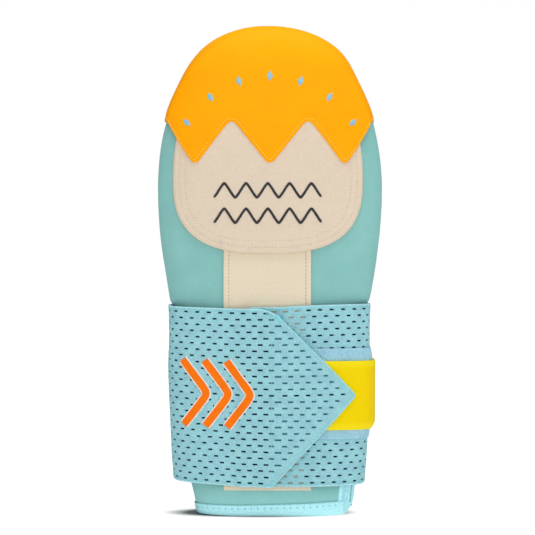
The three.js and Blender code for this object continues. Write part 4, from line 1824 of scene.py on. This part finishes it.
def bandSheet(name, left, right, low, high, layer):
    # A plain sheet behind the mesh, trimmed with the band
    depth, thickness, inset = band[layer]
    columns, rows = (max(2, round(span / band["sheetPitch"])) for span in (right - left, high - low))
    piece = newGrid(name, columns, rows, right - left, high - low, left, low)
    cutAsBand(piece, inset)
    for vertex in piece.data.vertices:
        vertex.co.z = -band["mesh"] - depth
    thicken(piece, thickness)
    lay(piece, bandPlace)
    roundShade(piece)
    return piece


# Painted shade: a near-black sheet close behind the mesh, so that its slots look as dark as deep shade
bandSlotShade = bandSheet("bandSlotShade", 0, flapTip, 0, band["height"], "slotShade")
keep(bandSlotShade, finishes["slotShade"], "band_mesh")
bandBacking = bandSheet("bandBacking", 0, flapTip, 0, band["height"], "backing")
keep(bandBacking, finishes["backing"], "band_mesh")
padLeft = flapAcross(band["hookFrom"])
for name, low, high in (
    ("hookPadUpper", holeRow + band["hookGap"], band["height"]),
    ("hookPadLower", 0, holeRow - band["hookGap"]),
):
    hookPad = bandSheet(name, padLeft, flapTip, low, high, "hookPads")
    keep(hookPad, finishes["hook"], "band_mesh")
# Painted shade: the centre strip's canvas, darkened as in shade, on a sheet just behind the first turn's
# slots
firstAcross = [float(np.interp(turn, bandTurnList, bandLengths)) for turn in band["stripTurns"]]
shadedStrip = bandSheet("stripBehindMesh", *firstAcross, 0, band["height"], "stripBehind")
keep(shadedStrip, finishes["shadedStrip"], "band_mesh")

hemProfile = [
    (0.5 * math.cos(t), -0.74 + 0.84 * math.sin(t))
    for t in np.linspace(0, 2 * math.pi, 12, endpoint=False)
]
low, high = band["hemInset"], band["height"] - band["hemInset"]
rounds = [(flapAcross(x), high - down) for x, down in band["cornerRound"]]
roundedEnd = line(rounds[0], rounds[1], 6)[1:] + line(rounds[1], rounds[2], 6)[1:]
hemPaths = {
    "top": line((0.5, high), rounds[0], 330) + roundedEnd,
    "upper": line(rounds[2], (flapTip - 0.4, tipHigh - 0.3), 80),
    "lower": line((flapCorner, low), (flapTip - 0.4, tipLow + 0.3), 80),
    "bottom": line((0.5, low), (flapCorner, low), 330),
}
hems = [ribbon("hem" + name, bandPlace, path, hemProfile, 1.1) for name, path in hemPaths.items()]
bandHem = keep(joinPieces("bandHem", hems), finishes["hem"], "band_mesh")

overlocks = [
    stitches("overlock" + name, bandPlace, hemPaths[name], (1.3, 0.36, 0.3), 1.25, lift=0.04, turn=turn)
    for name, turn in (("upper", 1.15), ("lower", -1.15))
]
keep(joinPieces("flapOverlock", overlocks), finishes["cyanThread"], "band_mesh")
edgeRows = [
    stitches("edgeRow" + name, bandPlace, hemPaths[name], (2.1, 0.45, 0.36), 2.7, lift=0.05, shift=shift)
    for name, shift in (("top", -1.1), ("bottom", 1.1))
]
keep(joinPieces("bandEdgeStitches", edgeRows), finishes["cyanThread"], "band_mesh")

rowAt = flapAcross(1.0)
flapRow = line((rowAt, 1.2), (rowAt, band["height"] - 1.2), 200)
flapStitches = stitches("flapStitches", bandPlace, flapRow, (1.7, 0.42, 0.28), 2.9, lift=0.0)
keep(flapStitches, finishes["cyanThread"], "band_mesh")
tacks = [  # x, down from the band's top, and the same at the other end
    ((3.2, 3.4), (6.4, 7.4)),
    ((1.7, band["height"] - 4.0), (1.4, band["height"] - 1.0)),
]
bartacks = []
for k, ends in enumerate(tacks):
    start, end = ((flapAcross(x), band["height"] - down) for x, down in ends)
    bartacks.append(satinLine(f"tack{k}", bandPlace, line(start, end, 20), 2.5, 0.5, 0.0, 0.8))
keep(joinPieces("bartacks", bartacks), finishes["cyanThread"], "band_mesh")

# Plain chevrons on the band's left, cut from twill and edged in white

chevron = {
    "lefts": (-49.0, -37.0, -25.0),
    "reach": 14.0,
    "half": 18.0,
    "stroke": 4.8,
    "edging": 0.95,
    "round": 0.1,
}


def chevronPath(left):
    path = []
    for t in np.linspace(-1, 1, 121):
        bend = math.sqrt(t * t + chevron["round"] ** 2) - chevron["round"]
        a = flapAcross(left + chevron["reach"] * (1 - bend))
        path.append((a, holeRow + chevron["half"] * t))
    return path


strokeHalf = chevron["stroke"] / 2
twillProfile = [
    (-strokeHalf, -0.1), (strokeHalf, -0.1), (strokeHalf, 0.3),
    (0.8, 0.36), (-0.8, 0.36), (-strokeHalf, 0.3),
]
edgingProfiles = {
    side: [(sideways + side * strokeHalf, up) for sideways, up in satinProfile(chevron["edging"], 0.5)]
    for side in (-1, 1)
}
twills, edgings = [], []
for k, left in enumerate(chevron["lefts"]):
    path = chevronPath(left)
    twills.append(ribbon(f"twill{k}", bandPlace, path, twillProfile, 0.5))
    for side, profile in edgingProfiles.items():
        edgings.append(ribbon(f"edging{k}{side}", bandPlace, path, profile, 0.4))
keep(joinPieces("chevrons", twills), finishes["orange"], "band_mesh")
keep(joinPieces("chevronEdging", edgings), finishes["whiteThread"], "band_mesh")
print("wrist band made")

# Loop tape and pull strap, which lie over the band's first turn

loopTape = {
    "from": 284.0,
    "to": 510.0,
    "width": 49.8,
    "middle": 68.2,
    "thickness": 0.6,
    "slack": 0.9,
    "drawIn": 0.65,  # how much nearer its upper and lower edges lie at the side
    "fuzz": ((0.16, 1.1, 9), (0.1, 3.5, 4)),  # height, length and place in the noise
}
pullStrap = {
    "from": 288.0,
    "to": 472.5,
    "width": 37.8,
    "middle": 67.3,
    "thickness": 1.2,
    "slack": 1.4,
    "tuck": 1.8,  # how far its lower edge draws in at the side
    "tuckAt": 62.0,
    "lean": 0.03,  # how much further its lower half stands off there
    "cornerCut": 9.0,
    "ribPitch": 0.95,
    "ribHeight": 0.1,
    "stepsPerRib": 4,
    "stitchRows": (14, 11),  # how far from its end they run across it
    "rowHalf": 14,
}


def wristPlace(item, base):
    start = float(np.interp(item["from"], bandTurnList, bandLengths))

    def place(a, b, w):
        turn = float(np.interp(start + a, bandLengths, bandTurnList))
        z = item["middle"] + b
        lift = base + item["thickness"] + item["slack"] * hump(turn - slackTurn, slackSpread)
        x, y = ringPoint(bandSection(z, lift + w), turn)
        return Vector((x, y, z))

    return place


def wristLength(item):
    ends = np.interp((item["from"], item["to"]), bandTurnList, bandLengths)
    return float(ends[1] - ends[0])


loopPlace = wristPlace(loopTape, band["underStrap"])


def fuzzPlace(a, b, w):
    if w > -0.1:
        w += sum(rise * noise.noise(Vector((a, b, at)) / length) for rise, length, at in loopTape["fuzz"])
    w -= loopTape["drawIn"] * smooth(abs(b), 18, 25) * hump(a - pullStrap["tuckAt"], 26)
    return loopPlace(a, b, w)


loopLength = wristLength(loopTape)
loopStrip = newGrid("loopStrip", 240, 64, loopLength, loopTape["width"], 0, -loopTape["width"] / 2)
thicken(loopStrip, loopTape["thickness"], 0.2)
lay(loopStrip, fuzzPlace)
roundShade(loopStrip)
keep(loopStrip, finishes["loop"], "loop_tape", "loop_strip")

strapPlace = wristPlace(pullStrap, band["overLoop"])


def ribPlace(a, b, w):
    rib = 0.5 + 0.5 * math.cos(2 * math.pi * a / pullStrap["ribPitch"])
    fromEdge = pullStrap["width"] / 2 - abs(b)
    selvage = smooth(fromEdge, 0.6, 2.2)
    w += pullStrap["ribHeight"] * (rib - 1) * (0.35 + 0.65 * selvage) * (1 if w > -0.6 else -0.4)
    w += 0.12 * hump(fromEdge - 1.4, 0.9) * (w > -0.6)
    atSide = hump(a - pullStrap["tuckAt"], 26)
    w -= (pullStrap["tuck"] * smooth(-b, 15, 19.2) + pullStrap["lean"] * b) * atSide
    return strapPlace(a, b, w)


strapLength = wristLength(pullStrap)
ribCount = round(strapLength / pullStrap["ribPitch"]) * pullStrap["stepsPerRib"]
strap = newGrid("pullStrap", ribCount, 22, strapLength, pullStrap["width"], 0, -pullStrap["width"] / 2)
for sign in (-1, 1):
    edge = sign * pullStrap["width"] / 2
    cut = (strapLength - pullStrap["cornerCut"], edge)
    cutFlat(strap, cut, (1, sign))
thicken(strap, pullStrap["thickness"], 0.25)
lay(strap, ribPlace)
roundShade(strap, 60)
keep(strap, finishes["strap"], "strap_web", "pull_strap")

strapRows = []
for k, fromEnd in enumerate(pullStrap["stitchRows"]):
    ends = [(strapLength - fromEnd, sign * pullStrap["rowHalf"]) for sign in (-1, 1)]
    strapRows.append(stitches(f"strapRow{k}", strapPlace, line(*ends), (2.0, 0.5, 0.4), 2.6, lift=0.05))
keep(joinPieces("strapStitches", strapRows), finishes["capThread"], "strap_web")
print("loop tape and strap made")

# Seam threads up both sides, over the panels' join

sideSeams = []
for share in (0.0, 1.0):
    path = [(body["frontWidth"] * share, b) for b in np.linspace(2.5, 240, 300)]
    size = (2.6, 0.5, 0.4)
    sideSeams.append(stitches(f"seam{share}", panelPlace("front"), path, size, 2.2, lift=0.65, turn=0.9))
keep(joinPieces("sideSeamThreads", sideSeams), finishes["tealThread"], "body_knit")

# Stage: a white paper floor that glows away from the mitt and is left unlit round it as a painted contact
# shadow, a white room and broad soft lights

stage = {
    "size": 16.0,
    "shade": srgb(160, 160, 160),
    "glow": 0.86,  # beside the mitt
    "farGlow": 0.14,  # what it gains between these distances in millimetres
    "farFrom": (250.0, 1500.0),
    "paintedShadow": (1.0, 1.36),  # the glow starts and is full at these shares of the rim's half size; within, the unlit paper is a painted contact shadow
    "paintedShadowShift": (-3.0, 1.0),
    "roomLight": 0.24,
}


def makeFloor():
    clearSelection()
    bpy.ops.mesh.primitive_grid_add(x_subdivisions=16, y_subdivisions=16, size=stage["size"])
    floor = bpy.context.object
    floor.name = "floor"
    finish = Finish("whitePaper", 0.95, specular=0.0)
    finish.colour(stage["shade"])
    tree = finish.tree
    low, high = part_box("rim_binding")
    centre = [(low[k] + high[k]) / 2 / mm + stage["paintedShadowShift"][k] for k in (0, 1)]
    scale = [2 * mm / (high[k] - low[k]) for k in (0, 1)]
    place = (-centre[0] * scale[0], -centre[1] * scale[1], 0)
    settings = {"Vector": finish.spot, "Location": place, "Scale": (*scale, 0)}
    fromRim = node(tree, "ShaderNodeMapping", settings)

    def lengthOf(vector):
        return node(tree, "ShaderNodeVectorMath", {0: vector}, operation="LENGTH").outputs["Value"]

    share, distance = lengthOf(fromRim.outputs["Vector"]), lengthOf(finish.spot)
    # Painted shadow: the glow is left out round the rim, set a little to the left and back, so the paper
    # there reads as the mitt's contact shadow
    near = stretched(tree, *stage["paintedShadow"], share, 0.0, stage["glow"])
    glow = maths(tree, "ADD", near, stretched(tree, *stage["farFrom"], distance, 0.0, stage["farGlow"]))
    finish.shader.inputs["Emission Color"].default_value = (1, 1, 1, 1)
    finish.tree.links.new(glow, finish.shader.inputs["Emission Strength"])
    floor.data.materials.append(finish.material)


def addLight(name, place, aim, size, power):
    data = bpy.data.lights.new(name, "AREA")
    data.shape = "RECTANGLE"
    data.size, data.size_y = size
    data.energy = power
    light = bpy.data.objects.new(name, data)
    light.location = place
    light.rotation_euler = (Vector(aim) - Vector(place)).to_track_quat("-Z", "Y").to_euler()
    bpy.context.collection.objects.link(light)


def makeRoom():
    # White where the camera sees it, and dimmer as a light
    world = bpy.data.worlds.new("studio")
    world.use_nodes = True
    tree = world.node_tree
    background = tree.nodes["Background"]
    background.inputs["Color"].default_value = (1, 1, 1, 1)
    seen = tree.nodes.new("ShaderNodeLightPath").outputs["Is Camera Ray"]
    strength = stretched(tree, 0.0, 1.0, seen, stage["roomLight"], 1.0)
    tree.links.new(strength, background.inputs["Strength"])
    bpy.context.scene.world = world


# Name, place, aim, size and power
lights = [
    ("topLight", (0.1, -0.3, 1.55), (0, 0, 0.1), (1.3, 1.0), 15),
    ("frontLight", (-0.1, -2.2, 0.8), (0, 0, 0.13), (1.8, 1.4), 13.8),
    ("rightLight", (1.5, -0.9, 0.8), (0, 0, 0.13), (0.9, 1.2), 3.6),
]

makeFloor()
makeRoom()
for light in lights:
    addLight(*light)
bpy.context.scene.view_settings.view_transform = "Standard"
print("stage and lights made")
